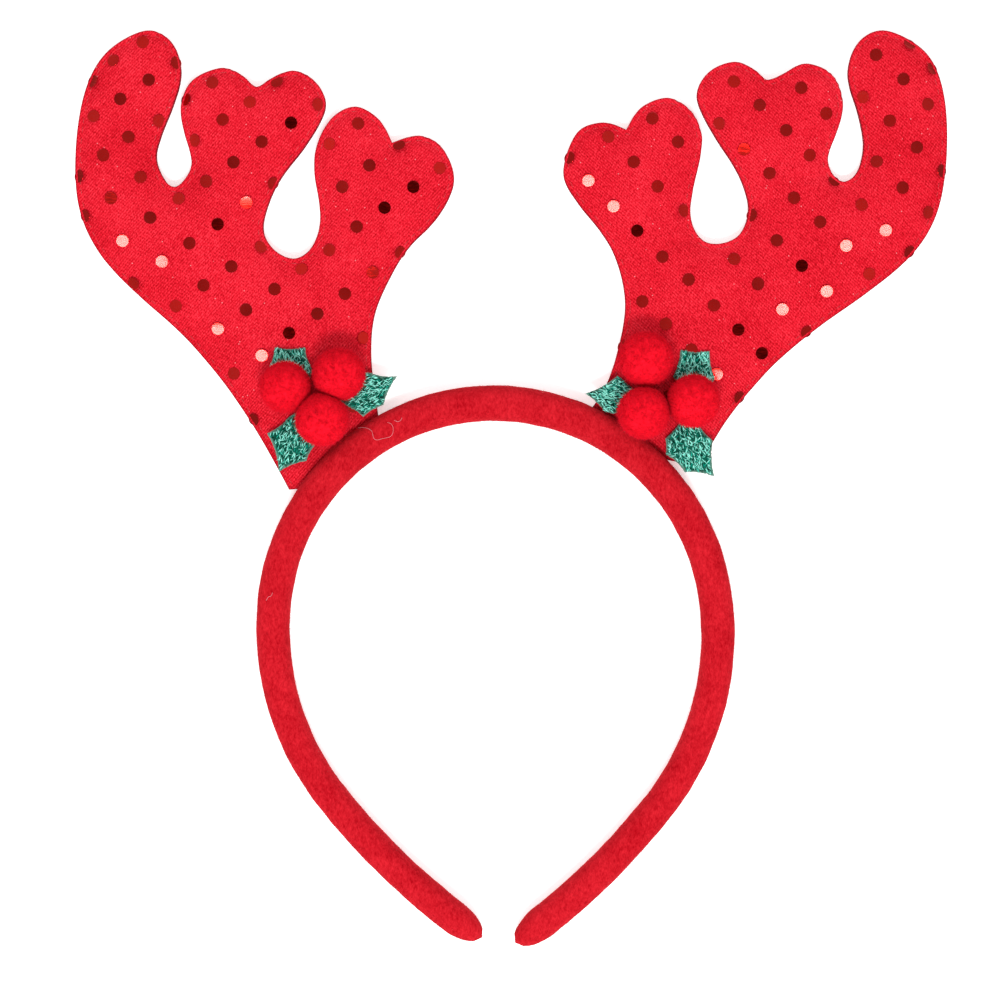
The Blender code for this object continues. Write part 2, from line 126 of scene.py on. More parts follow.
# Pale stray hairs on the band: the places each one passes, in millimetres in the frame.
STRAY_HAIRS = {
    "long curl": ((-43.3, 16.9), (-41.5, 17.0), (-39.4, 16.1), (-38.3, 13.6), (-36.0, 13.9), (-33.7, 14.7),
                  (-33.2, 16.5), (-33.8, 18.0), (-35.1, 18.4)),
    "short bow": ((-32.9, 19.0), (-31.8, 18.6), (-31.0, 19.1), (-30.6, 19.9)),
    "leg wisp": ((-68.9, -31.6), (-68.2, -30.6), (-67.6, -30.4), (-67.0, -29.2)),
}

# The pompoms, as in their solids: (x and y from the crown, radius, extra height).
POMPOM_BOTTOM = 7.6
POMPOM_SQUASHED = 1.5
POMPOMS = {
    "pompom_left_outer": (-58.2, 4.2, 7.4, 0.0),
    "pompom_left_inner": (-43.2, 7.8, 7.6, 0.0),
    "pompom_left_lower": (-47.8, -4.9, 7.6, 1.5),
    "pompom_right_upper": (42.8, 12.1, 7.9, -1.3),
    "pompom_right_outer": (56.0, 0.3, 7.6, 0.0),
    "pompom_right_lower": (42.0, -3.1, 7.5, 1.2),
}

# The holly leaves, with the way each one points, in degrees from X.
LEAF_TOP = 7.3
LEAF_FACE = LEAF_TOP - 0.30
LEAF_UNDERSIDE = LEAF_TOP - 0.75
LEAVES = {
    "holly_left_upper": 90,
    "holly_left_inner": 10,
    "holly_left_lower": 250,
    "holly_right_upper": 80,
    "holly_right_inner": 160,
    "holly_right_lower": 290,
}

# The middle of the low softbox, and its width and depth.
SOFTBOX = np.array((0.0, -550.0, 1120.0))
SOFTBOX_SIZE = (440.0, 150.0)
# How far to the side of the softbox's middle the sequins on each antler lean, which clears the pompoms.
SOFTBOX_AIM = 120.0

# The white room's light by height, from the horizon at 0 to straight above at 1, where the camera hangs.
ROOM_STRENGTH = 1.25
ROOM_LEVELS = ((0.0, 0.45), (0.22, 0.5), (0.50, 1.0), (0.80, 1.0), (0.90, 0.75), (0.96, 0.55), (0.988, 0.42),
               (0.9975, 0.04), (1.0, 0.02))

# The point below the middle of the picture, and the level at which the picture has its width.
PICTURE_MIDDLE = (-3.2, -3.4)
PICTURE_LEVEL = 4.0
SENSOR_WIDTH = 36.0


# Sizes and colours that a user would change

class KnitSettings(PropertyGroup):
    stitch: FloatProperty(name="Knit row", description="Distance from one knitted row to the next",
                          default=0.0007, unit="LENGTH")
    # The knit's shade and light are painted: painted shade between the knitted rows, painted light on top of
    # them.
    dark: FloatVectorProperty(name="Knit shade", description="Red between the rows",
                              default=(0.29, 0.0, 0.002), subtype="COLOR", size=3, min=0, max=1)
    light: FloatVectorProperty(name="Knit light", description="Red on top of the rows",
                               default=(0.80, 0.036, 0.058), subtype="COLOR", size=3, min=0, max=1)
    hem: FloatProperty(name="Hem", description="Distance from the cut edge to the seam",
                       default=0.0014, unit="LENGTH")
    stitch_step: FloatProperty(name="Stitch step", description="Distance from one stitch to the next",
                               default=0.0029, unit="LENGTH")


class SequinSettings(PropertyGroup):
    radius: FloatProperty(name="Radius", description="Radius of a sequin",
                          default=0.00176, unit="LENGTH")
    thickness: FloatProperty(name="Thickness", description="Thickness of a sequin",
                             default=0.00011, unit="LENGTH")
    colour: FloatVectorProperty(name="Sequin red", description="Colour of the sequins",
                                default=(0.43, 0.005, 0.003), subtype="COLOR", size=3, min=0, max=1)


class FeltSettings(PropertyGroup):
    dark: FloatVectorProperty(name="Felt shade", description="Darker patches of the felt",
                              default=(0.30, 0.0, 0.004), subtype="COLOR", size=3, min=0, max=1)
    light: FloatVectorProperty(name="Felt light", description="Lighter patches of the felt",
                               default=(0.57, 0.014, 0.024), subtype="COLOR", size=3, min=0, max=1)
    fibres: IntProperty(name="Fibres", description="Number of loose fibres on the band",
                        default=20000, min=0)
    fibre_length: FloatProperty(name="Fibre length", description="Length of a loose fibre",
                                default=0.0008, unit="LENGTH")


class PompomSettings(PropertyGroup):
    dark: FloatVectorProperty(name="Pompom shade", description="Red deep in the pompom",
                              default=(0.72, 0.0, 0.009), subtype="COLOR", size=3, min=0, max=1)
    light: FloatVectorProperty(name="Pompom light", description="Red at the tips",
                               default=(0.87, 0.012, 0.034), subtype="COLOR", size=3, min=0, max=1)
    fibres: IntProperty(name="Fibres", description="Number of fibres on each pompom",
                        default=12000, min=0)
    pile: FloatProperty(name="Pile", description="How far the fibres stand out of the core",
                        default=0.0008, unit="LENGTH")


class HollySettings(PropertyGroup):
    base: FloatVectorProperty(name="Leaf base", description="Deep green under the tinsel",
                              default=(0.004, 0.14, 0.09), subtype="COLOR", size=3, min=0, max=1)
    foil: FloatVectorProperty(name="Tinsel", description="Green of the tinsel",
                              default=(0.002, 0.42, 0.29), subtype="COLOR", size=3, min=0, max=1)
    # The glint is a painted highlight on the tinsel strands.
    glint: FloatVectorProperty(name="Glint", description="Mint of the tinsel that catches the light",
                               default=(0.34, 1.0, 0.84), subtype="COLOR", size=3, min=0, max=1)
    strands: IntProperty(name="Strands", description="Number of tinsel strands on each leaf",
                         default=620, min=0)


class StageSettings(PropertyGroup):
    lens: FloatProperty(name="Lens", description="Focal length of the camera", default=100.0, unit="CAMERA")
    picture: FloatProperty(name="Picture width", description="Width of the picture at the headband",
                           default=0.283, unit="LENGTH")
    softbox: FloatProperty(name="Softbox", description="Power of the softbox beyond the band's ends",
                           default=10.5, unit="POWER")


# Helpers for meshes

def deselect_all():
    for obj in bpy.context.selected_objects:
        obj.select_set(False)


def new_object(name, vertices, faces, finish, smooth=True):
    """A piece from vertices in millimetres, at the origin."""
    mesh = bpy.data.meshes.new(name)
    mesh.from_pydata((np.asarray(vertices, float) * MM).tolist(), [], faces)
    mesh.validate()
    if smooth:
        mesh.shade_smooth()
    mesh.materials.append(finish)
    obj = bpy.data.objects.new(name, mesh)
    bpy.context.scene.collection.objects.link(obj)
    return obj


def point_values(obj, name, values):
    made = obj.data.attributes.new(name, "FLOAT", "POINT")
    made.data.foreach_set("value", np.asarray(values, np.float32))


def choose(obj):
    """Makes an object the only selected one, and the active one."""
    deselect_all()
    obj.select_set(True)
    bpy.context.view_layer.objects.active = obj


def turn_normals_out(obj):
    choose(obj)
    bpy.ops.object.mode_set(mode="EDIT")
    bpy.ops.mesh.select_all(action="SELECT")
    bpy.ops.mesh.normals_make_consistent(inside=False)
    bpy.ops.object.mode_set(mode="OBJECT")


def unit(vector):
    return vector / np.linalg.norm(vector)


def copies(name, template, bases, places, tones, finish, smooth=True):
    """One mesh of many copies of a small template.

    A base's rows are what the template's X, Y and Z turn into. Each copy has one tone, kept on its points.
    """
    mesh = template.data
    count = len(mesh.vertices)
    corners = np.empty(count * 3)
    mesh.vertices.foreach_get("co", corners)
    corners = corners.reshape(-1, 3)
    loops = np.empty(len(mesh.loops), np.int64)
    mesh.loops.foreach_get("vertex_index", loops)
    starts = np.empty(len(mesh.polygons), np.int64)
    mesh.polygons.foreach_get("loop_start", starts)
    number = len(places)
    points = np.einsum("vi,nij->nvj", corners, bases) + np.asarray(places)[:, None, :]
    points[..., 2] = np.maximum(points[..., 2], LOWEST)
    made = bpy.data.meshes.new(name)
    made.vertices.add(number * count)
    made.vertices.foreach_set("co", (points * MM).astype(np.float32).ravel())
    made.loops.add(number * len(loops))
    all_loops = (np.arange(number)[:, None] * count + loops[None]).ravel()
    made.loops.foreach_set("vertex_index", all_loops.astype(np.int32))
    made.polygons.add(number * len(starts))
    all_starts = (np.arange(number)[:, None] * len(loops) + starts[None]).ravel()
    made.polygons.foreach_set("loop_start", all_starts.astype(np.int32))
    made.update(calc_edges=True)
    made.validate()
    if smooth:
        made.shade_smooth()
    made.materials.append(finish)
    obj = bpy.data.objects.new(name, made)
    bpy.context.scene.collection.objects.link(obj)
    point_values(obj, "tone", np.repeat(tones, count))
    return obj


def template_of(obj):
    """Takes a modelled object as a template: its place goes into its mesh, and it leaves the scene."""
    choose(obj)
    bpy.ops.object.transform_apply(location=True, rotation=True, scale=True)
    for found in list(obj.users_collection):
        found.objects.unlink(obj)
    return obj


def discard(template):
    mesh = template.data
    bpy.data.objects.remove(template, do_unlink=True)
    bpy.data.meshes.remove(mesh)


def fibre_template():
    """A three-sided spike from 0 to 1 along Z, to be scaled and turned."""
    deselect_all()
    bpy.ops.mesh.primitive_cone_add(vertices=3, radius1=1, radius2=0, depth=1, location=(0, 0, 0.5))
    return template_of(bpy.context.object)


def bases_along(directions, lengths, widths, rolls):
    """Bases that stretch a template's Z along each direction and its X and Y to each width."""
    directions = directions / np.linalg.norm(directions, axis=1)[:, None]
    helper = np.where(abs(directions[:, 2:3]) < 0.9, np.array([[0.0, 0.0, 1.0]]), np.array([[1.0, 0.0, 0.0]]))
    side = np.cross(directions, helper)
    side /= np.linalg.norm(side, axis=1)[:, None]
    other = np.cross(directions, side)
    turned = side * np.cos(rolls)[:, None] + other * np.sin(rolls)[:, None]
    across = np.cross(directions, turned)
    widths = np.asarray(widths)
    if widths.ndim == 1:
        widths = np.stack((widths, widths), axis=1)
    return np.stack((turned * widths[:, :1], across * widths[:, 1:], directions * lengths[:, None]), axis=1)


def triangles_from(obj):
    corners = [v.co / MM for v in obj.data.vertices]
    return BVHTree.FromPolygons(corners, [tuple(p.vertices) for p in obj.data.polygons])


# Helpers for outlines, in millimetres

def flat_loop(node, level):
    """The outline of a CAD node's flat face at one height, with its inside on the left."""
    mesh = frame["nodes"][node].data
    places = {}
    edges = set()
    for polygon in mesh.polygons:
        corners = [mesh.vertices[i].co / MM for i in polygon.vertices]
        if any(abs(c.z - level) > 0.004 for c in corners):
            continue
        keys = [(round(c.x, 3), round(c.y, 3)) for c in corners]
        for key, corner in zip(keys, corners):
            places[key] = (corner.x, corner.y)
        for a, b in zip(keys, keys[1:] + keys[:1]):
            if (b, a) in edges:
                edges.remove((b, a))
            else:
                edges.add((a, b))
    following = dict(edges)
    start = min(following)
    loop = [start]
    while following[loop[-1]] != start:
        loop.append(following[loop[-1]])
    points = np.array([places[key] for key in loop])
    return points if signed_area(points) > 0 else points[::-1]


def outside_crown_arc(side, points):
    """How far points lie outside the arc that the band's centre line makes at its crown."""
    radius = BAND_ARCS[side][0][0]
    return np.hypot(points[..., 0] - CROWN[0], points[..., 1] - CROWN[1] + radius) - radius


def signed_area(points):
    ahead = np.roll(points, -1, axis=0)
    return 0.5 * float((points[:, 0] * ahead[:, 1] - ahead[:, 0] * points[:, 1]).sum())


def smooth_loop(points, step, corner_degrees=38):
    """A close, rounded outline through the points, still sharp at its corners."""
    chords = np.roll(points, -1, axis=0) - points
    lengths = np.linalg.norm(chords, axis=1)
    ahead = chords / lengths[:, None]
    behind = np.roll(ahead, 1, axis=0)
    behind_lengths = np.roll(lengths, 1)
    tangents = ahead * behind_lengths[:, None] + behind * lengths[:, None]
    tangents /= np.maximum(np.linalg.norm(tangents, axis=1), 1e-9)[:, None]
    sharp = (ahead * behind).sum(axis=1) < math.cos(math.radians(corner_degrees))
    found = []
    for i, start in enumerate(points):
        j = (i + 1) % len(points)
        end, length = points[j], lengths[i]
        leave = (ahead[i] if sharp[i] else tangents[i]) * length
        arrive = (ahead[i] if sharp[j] else tangents[j]) * length
        pieces = max(1, round(length / step))
        for k in range(pieces):
            t = k / pieces
            found.append((2 * t ** 3 - 3 * t ** 2 + 1) * start + (t ** 3 - 2 * t ** 2 + t) * leave
                         + (3 * t ** 2 - 2 * t ** 3) * end + (t ** 3 - t ** 2) * arrive)
    return np.array(found)


def nearest_edge(polygon, points):
    """(distance, index of the edge) from each point to a closed polygon."""
    along = np.roll(polygon, -1, axis=0) - polygon
    squared = (along ** 2).sum(-1)
    distances = np.empty(len(points))
    indices = np.empty(len(points), int)
    for low in range(0, len(points), 1500):
        offset = points[low:low + 1500, None, :] - polygon[None]
        share = np.clip((offset * along).sum(-1) / squared, 0, 1)
        gap = ((offset - share[..., None] * along) ** 2).sum(-1)
        indices[low:low + 1500] = gap.argmin(axis=1)
        distances[low:low + 1500] = np.sqrt(gap.min(axis=1))
    return distances, indices


def inside(polygon, points):
    a = polygon[None]
    b = np.roll(polygon, -1, axis=0)[None]
    x, y = points[:, 0, None], points[:, 1, None]
    crosses = (a[..., 1] > y) != (b[..., 1] > y)
    with np.errstate(divide="ignore", invalid="ignore"):
        where = a[..., 0] + (y - a[..., 1]) * (b[..., 0] - a[..., 0]) / (b[..., 1] - a[..., 1])
    return (crosses & (x < where)).sum(axis=1) % 2 == 1


def inset_loop(polygon, depth):
    """The polygon's points moved in by a depth, without those that come too near another stretch of it."""
    ahead = np.roll(polygon, -1, axis=0) - np.roll(polygon, 1, axis=0)
    ahead /= np.linalg.norm(ahead, axis=1)[:, None]
    moved = polygon + np.stack((-ahead[:, 1], ahead[:, 0]), axis=1) * depth
    clear = inside(polygon, moved) & (nearest_edge(polygon, moved)[0] > depth * 0.95)
    return moved[clear]


def lattice_in(polygon, spacing, margin, seed):
    """Points of a slightly uneven triangular lattice, inside the polygon by a margin."""
    chance = np.random.default_rng(seed)
    low, high = polygon.min(axis=0), polygon.max(axis=0)
    rows = np.arange(low[1], high[1], spacing * math.sqrt(3) / 2)
    points = np.array([(x + (i % 2) * spacing / 2, y) for i, y in enumerate(rows)
                       for x in np.arange(low[0], high[0], spacing)])
    points += chance.uniform(-0.12, 0.12, points.shape) * spacing
    points = points[inside(polygon, points)]
    return points[nearest_edge(polygon, points)[0] > margin]


def filled(points, edge_count):
    """Triangles over the points, inside the polygon that the first ones make."""
    edges = [(i, (i + 1) % edge_count) for i in range(edge_count)]
    corners, _, faces, _, _, _ = delaunay_2d_cdt([Vector(p) for p in points], edges, [], 1, 1e-4)
    if len(corners) != len(points):
        raise RuntimeError("two points of an outline fell together")
    return faces


# Helpers for materials

class Finish:
    """A material and the shorthand that builds its nodes."""

    def __init__(self, name, **shader_values):
        self.material = bpy.data.materials.new(name)
        self.material.use_nodes = True
        self.tree = self.material.node_tree
        self.shader = self.tree.nodes["Principled BSDF"]
        for socket, value in shader_values.items():
            self.shader.inputs[socket.replace("_", " ")].default_value = value

    def node(self, kind, inputs=None, **settings):
        made = self.tree.nodes.new("ShaderNode" + kind)
        for name, value in settings.items():
            setattr(made, name, value)
        for name, value in (inputs or {}).items():
            self.into(made.inputs[name], value)
        return made

    def into(self, socket, value):
        if isinstance(value, bpy.types.NodeSocket):
            self.tree.links.new(value, socket)
        else:
            socket.default_value = value

    def set(self, name, value):
        self.into(self.shader.inputs[name], value)

    def place(self, turn=0.0, stretch=(1, 1, 1)):
        """Object coordinates, turned about Z and stretched."""
        coordinates = self.node("TexCoord").outputs["Object"]
        mapping = self.node("Mapping", {"Vector": coordinates, "Rotation": (0, 0, turn), "Scale": stretch})
        return mapping.outputs["Vector"]

    def noise(self, where, scale, detail=3.0, roughness=0.55):
        return self.node("TexNoise", {"Vector": where, "Scale": scale, "Detail": detail,
                                      "Roughness": roughness}).outputs["Fac"]

    def stripes(self, where, step, distortion=0.0):
        """A smooth wave along X, one crest each step."""
        inputs = {"Vector": where, "Scale": math.tau / (20 * step), "Distortion": distortion, "Detail": 2.0,
                  "Detail Scale": 1100.0}
        return self.node("TexWave", inputs).outputs["Fac"]

    def attribute(self, name):
        return self.node("Attribute", attribute_name=name).outputs["Fac"]

    def math(self, operation, a, b=0.0, clamp=False):
        made = self.node("Math", operation=operation, use_clamp=clamp)
        self.into(made.inputs[0], a)
        self.into(made.inputs[1], b)
        return made.outputs[0]

    def between(self, value, low, high, to_low=0.0, to_high=1.0):
        return self.node("MapRange", {"Value": value, "From Min": low, "From Max": high, "To Min": to_low,
                                      "To Max": to_high}).outputs["Result"]

    def mix(self, share, a, b, blend="MIX"):
        made = self.node("Mix", data_type="RGBA", blend_type=blend)
        self.into(made.inputs[0], share)
        self.into(made.inputs[6], with_alpha(a))
        self.into(made.inputs[7], with_alpha(b))
        return made.outputs[2]

    def ramp(self, value, *stops):
        """A colour for a value, through stops of (position, colour)."""
        made = self.node("ValToRGB", {"Fac": value})
        elements = made.color_ramp.elements
        for element, (position, colour) in zip(elements, (stops[0], stops[-1])):
            element.position, element.color = position, with_alpha(colour)
        for position, colour in stops[1:-1]:
            elements.new(position).color = with_alpha(colour)
        return made.outputs["Color"]

    def bump(self, height, depth, strength=1.0):
        made = self.node("Bump", {"Height": height, "Distance": depth, "Strength": strength})
        self.set("Normal", made.outputs["Normal"])


def with_alpha(colour):
    return colour if isinstance(colour, bpy.types.NodeSocket) else (*tuple(colour)[:3], 1.0)


def knit_finish(name, lean, settings):
    """Fine rows of loops that lean by an angle, uneven as in a stretched knit: painted shade between the
    rows, painted light on top of them, a few painted pale glints and painted shade along the cut edge.
    """
    finish = Finish(name, Roughness=0.8, Specular_IOR_Level=0.06)
    turn = math.radians(90 - lean)
    rows = finish.stripes(finish.place(turn), settings.stitch, 4.5)
    wales = finish.stripes(finish.place(turn + math.radians(78)), settings.stitch * 1.3, 4.0)
    loops = finish.noise(finish.place(turn, (1.0, 0.55, 1.0)), 3000, 2.0, 0.7)
    patches = finish.noise(finish.place(), 60, 3.0)
    relief = finish.math("ADD", finish.math("MULTIPLY", rows, 0.27), finish.math("MULTIPLY", wales, 0.10))
    relief = finish.math("ADD", relief, finish.math("MULTIPLY", loops, 1.25))
    # The relief also sets the colour: painted shade where it is low, painted light where it is high.
    share = finish.between(relief, 0.50, 1.12)
    share = finish.math("ADD", share, finish.between(patches, 0.3, 0.7, -0.10, 0.10), True)
    middle = tuple(d + (l - d) * s for d, l, s in zip(settings.dark, settings.light, (0.62, 0.16, 0.30)))
    colour = finish.ramp(share, (0.0, settings.dark), (0.55, middle), (1.0, settings.light))
    # Painted glints: a few small cells are painted pale pink, for the sparkle of metallic thread.
    cells = finish.node("TexVoronoi", {"Vector": finish.place(0.4), "Scale": 900.0, "Randomness": 1.0})
    pick = finish.node("SeparateColor", {"Color": cells.outputs["Color"]}).outputs[0]
    painted_glint_mask = finish.math("MULTIPLY", finish.math("GREATER_THAN", pick, 0.95),
                         finish.math("LESS_THAN", cells.outputs["Distance"], 0.16))
    colour = finish.mix(finish.math("MULTIPLY", painted_glint_mask, 0.7), colour, (0.74, 0.25, 0.27))
    # Painted shade: the red turns nearly black along the cut edge and down the side wall under it.
    colour = finish.mix(finish.math("MULTIPLY", finish.attribute("edge"), 0.75), colour, (0.06, 0.0, 0.004))
    finish.set("Base Color", colour)
    finish.bump(relief, 0.00010, 0.5)
    return finish.material


def thread_finish():
    """Twisted thread, darker in the grooves of its twist and lighter on its plies."""
    finish = Finish("red_thread", Roughness=0.5, Specular_IOR_Level=0.3)
    twist = finish.stripes(finish.place(0.6), 0.0004, 0.4)
    finish.set("Base Color", finish.mix(twist, (0.30, 0.0, 0.004), (0.74, 0.05, 0.07)))
    finish.bump(twist, 0.00005)
    return finish.material


def sequin_finish(settings):
    """Thin foil: a mirror with a red tint, lightly brushed."""
    finish = Finish("red_foil", Metallic=0.96, Roughness=0.14, Coat_Weight=0.15, Coat_Roughness=0.06)
    tone = finish.attribute("tone")
    streaks = finish.noise(finish.place(0.3, (1.0, 5.0, 1.0)), 500, 2.0)
    deep = tuple(c * 0.72 for c in settings.colour)
    colour = finish.mix(tone, deep, settings.colour)
    finish.set("Base Color", colour)
    finish.set("Roughness", finish.between(streaks, 0.3, 0.7, 0.08, 0.20))
    finish.bump(streaks, 0.00002, 0.5)
    return finish.material


def felt_finish(settings):
    """Brushed felt: cloudy tones over fine hairs."""
    finish = Finish("red_brushed_felt", Roughness=0.95, Specular_IOR_Level=0.04, Sheen_Weight=0.05,
                    Sheen_Roughness=0.5)
    finish.shader.inputs["Sheen Tint"].default_value = (1.0, 0.25, 0.28, 1.0)
    broad = finish.noise(finish.place(), 150, 3.0, 0.6)
    clumps = finish.noise(finish.place(0.5, (1.0, 0.6, 1.0)), 1100, 3.0, 0.6)
    hairs = finish.noise(finish.place(0.9, (1.0, 0.4, 1.0)), 3200, 2.0, 0.7)
    share = finish.math("ADD", finish.math("MULTIPLY", broad, 0.36), finish.math("MULTIPLY", clumps, 0.62))
    share = finish.math("ADD", share, finish.math("MULTIPLY", hairs, 0.62))
    finish.set("Base Color", finish.mix(finish.between(share, 0.58, 1.04), settings.dark, settings.light))
    finish.bump(share, 0.00025, 0.5)
    return finish.material


def fibre_finish(name, dark, light):
    """Matt fibres, from dark to light by each one's own tone and by soft patches."""
    finish = Finish(name, Roughness=0.9, Specular_IOR_Level=0.04)
    patches = finish.noise(finish.place(), 700, 3.0)
    share = finish.math("ADD", finish.math("MULTIPLY", finish.attribute("tone"), 0.7),
                        finish.math("MULTIPLY", patches, 0.35), True)
    finish.set("Base Color", finish.mix(share, dark, light))
    return finish.material


def tinsel_finish(settings):
    """Cut foil: each strand nearly black, deep green, green or mint by its own tone, as painted reflection:
    nearly black for foil that mirrors the dark, mint for foil that catches the light.
    """
    finish = Finish("green_tinsel", Roughness=0.45, Specular_IOR_Level=0.03)
    # Painted reflection: the nearly black end stands for foil mirroring the dark, the glint end for foil
    # catching the light.
    nearly_black = tuple(c * 0.05 for c in settings.base)
    colour = finish.ramp(finish.attribute("tone"), (0.0, nearly_black), (0.30, settings.base),
                         (0.52, settings.foil), (0.88, settings.glint))
    streaks = finish.noise(finish.place(), 3000, 2.0)
    colour = finish.mix(finish.between(streaks, 0.40, 0.60, 0, 0.10), colour, (0.0, 0.10, 0.065))
    finish.set("Base Color", colour)
    finish.bump(streaks, 0.00004, 0.4)
    return finish.material


def leaf_base_finish(settings):
    """The dark felted face between the strands, paler at the cut edge."""
    finish = Finish("holly_base", Metallic=0.1, Roughness=0.6, Specular_IOR_Level=0.06)
    cells = finish.noise(finish.place(0.2, (1.0, 0.35, 1.0)), 1500, 3.0)
    deep = tuple(c * 0.25 for c in settings.base)
    colour = finish.mix(finish.between(cells, 0.35, 0.65), deep, settings.base)
    colour = finish.mix(finish.math("MULTIPLY", finish.attribute("edge"), 0.45), colour, (0.30, 0.48, 0.40))
    finish.set("Base Color", colour)
    finish.bump(cells, 0.0002, 0.8)
    return finish.material


def paper_finish():
    """White paper, lit a little from within as in an overexposed picture."""
    finish = Finish("white_paper", Roughness=0.9, Specular_IOR_Level=0.1)
    grain = finish.noise(finish.place(), 60, 3.0)
    finish.set("Base Color", finish.mix(grain, (0.90, 0.90, 0.90), (0.93, 0.93, 0.93)))
    finish.shader.inputs["Emission Color"].default_value = (1.0, 1.0, 1.0, 1.0)
    finish.shader.inputs["Emission Strength"].default_value = 0.42
    return finish.material


# The band

def band_point(side, distance):
    """The centre line's point and its heading, outward of the crown on one side."""
    place = np.zeros(2)
    heading = 0.0
    for radius, degrees in BAND_ARCS[side]:
        turn = min(math.radians(degrees), distance / radius)
        centre = place - radius * np.array((math.sin(heading), math.cos(heading)))
        heading += turn
        place = centre + radius * np.array((math.sin(heading), math.cos(heading)))
        distance -= turn * radius
    return place, heading


def band_length(side):
    return sum(radius * math.radians(degrees) for radius, degrees in BAND_ARCS[side])


def band_rings(sides=BAND_SIDES, station=BAND_STATION):
    """Cross-sections from the left tip to the right one, and the outward normal of each of their points."""
    angles = np.arange(sides) / sides * math.tau
    across = np.sign(np.cos(angles)) * abs(np.cos(angles)) ** (2 / BAND_SQUARENESS)
    up = np.sign(np.sin(angles)) * abs(np.sin(angles)) ** (2 / BAND_SQUARENESS)
    rings, normals = [], []
    for side in SIDES:
        whole = band_length(side)
        count = round(whole / station)
        run, run_normals = [], []
        for i in range(1 if side == "left" else 0, count + 1):
            distance = whole * i / count
            to_tip = float(np.clip((whole - distance) / BAND_TIP_LENGTH, 0, 1))
            swell = max(0.05, math.sqrt(1 - (1 - to_tip) ** 2))
            place, heading = band_point(side, distance)
            outward = np.array((math.sin(heading), math.cos(heading)))
            share = min(1.0, distance / BAND_TAPER_LENGTH)
            half = BAND_HALF_AT_CROWN + (BAND_HALF_AT_LEG - BAND_HALF_AT_CROWN) * share
            half = half * swell - COVER_INSIDE
            high = BAND_HALF_HEIGHT * swell - COVER_INSIDE
            ring, ring_normals = [], []
            for a, b in zip(across, up):
                u, v = place + outward * half * a
                point = np.array((SIDES[side] * u + CROWN[0], v + CROWN[1], BAND_HALF_HEIGHT + high * b))
                normal = np.array((SIDES[side] * outward[0] * a, outward[1] * a, b))
                ring.append(point)
                ring_normals.append(normal / np.linalg.norm(normal))
            run.append(ring)
            run_normals.append(ring_normals)
        if side == "left":
            run.reverse()
            run_normals.reverse()
        rings += run
        normals += run_normals
    return np.array(rings), np.array(normals)


def slot_cutter(side):
    """The slot that the antler's base is let into, a little larger than the base."""
    loop = flat_loop("antler_" + side + "_front", ANTLER_MIDDLE + HALF_GAP)
    near = loop[outside_crown_arc(side, loop) < BAND_HALF_AT_CROWN + 4]
    middle = near.mean(axis=0)
    around = np.arctan2(*(near - middle).T[::-1])
    near = near[np.argsort(around)]
    away = near - middle
    near = near + away / np.linalg.norm(away, axis=1)[:, None] * SLOT_CLEARANCE
    count = len(near)
    vertices = [(x, y, z) for z in (SLOT_BOTTOM, SLOT_TOP) for x, y in near]
    faces = [tuple(range(count))[::-1], tuple(range(count, 2 * count))]
    faces += [(i, (i + 1) % count, count + (i + 1) % count, count + i) for i in range(count)]
    return new_object("slot_cutter", vertices, faces, None, smooth=False)


def make_band(settings):
    rings, normals = band_rings()
    count, sides = rings.shape[:2]
    bumps = [noise.noise(Vector(p) * 0.22) * 0.16 + noise.noise(Vector(p) * 0.8) * 0.07
             for p in rings.reshape(-1, 3)]
    vertices = (rings.reshape(-1, 3) + normals.reshape(-1, 3) * np.array(bumps)[:, None]).tolist()
    faces = []
    for i in range(count - 1):
        for k in range(sides):
            n = (k + 1) % sides
            faces.append((i * sides + k, i * sides + n, (i + 1) * sides + n, (i + 1) * sides + k))
    for ring, order in ((0, -1), (count - 1, 1)):
        tip = len(vertices)
        vertices.append(rings[ring].mean(axis=0).tolist())
        for k in range(sides):
            pair = (ring * sides + k, ring * sides + (k + 1) % sides)
            faces.append((*pair[::order], tip))
    band = new_object("felt_cover", vertices, faces, felt_finish(settings))
    turn_normals_out(band)
    for side in SIDES:
        cutter = slot_cutter(side)
        turn_normals_out(cutter)
        choose(band)
        cut = band.modifiers.new("slot", "BOOLEAN")
        cut.operation = "DIFFERENCE"
        cut.solver = "EXACT"
        cut.object = cutter
        bpy.ops.object.modifier_apply(modifier=cut.name)
        discard(cutter)
    return band


def make_band_fuzz(settings):
    """Loose fibres that lie along the felt and stand a little off it."""
    chance = np.random.default_rng(11)
    rings, normals = band_rings(sides=32, station=2.0)
    count, sides = rings.shape[:2]
    number = settings.fibres
    i = chance.uniform(0, count - 1.001, number)
    k = chance.integers(0, sides, number)
    whole = i.astype(int)
    share = (i - whole)[:, None]
    places = rings[whole, k] * (1 - share) + rings[whole + 1, k] * share
    outward = normals[whole, k]
    next_side = rings[whole, (k + 1) % sides]
    places = places + (next_side - rings[whole, k]) * chance.uniform(0, 1, (number, 1))
    lean = chance.normal(0, 1, (number, 3))
    lean -= outward * (lean * outward).sum(axis=1)[:, None]
    directions = outward * chance.uniform(0.10, 0.75, (number, 1)) + lean * 0.8
    lengths = settings.fibre_length / MM * chance.uniform(0.5, 1.5, number)
    widths = chance.uniform(0.016, 0.030, number)
    tones = chance.beta(2, 2, number)
    template = fibre_template()
    finish = fibre_finish("felt_fibre", settings.dark, settings.light)
    bases = bases_along(directions, lengths, widths, chance.uniform(0, 6.28, number))
    fuzz = copies("felt_fuzz", template, bases, places - outward * 0.05, tones, finish)
    discard(template)
    return fuzz


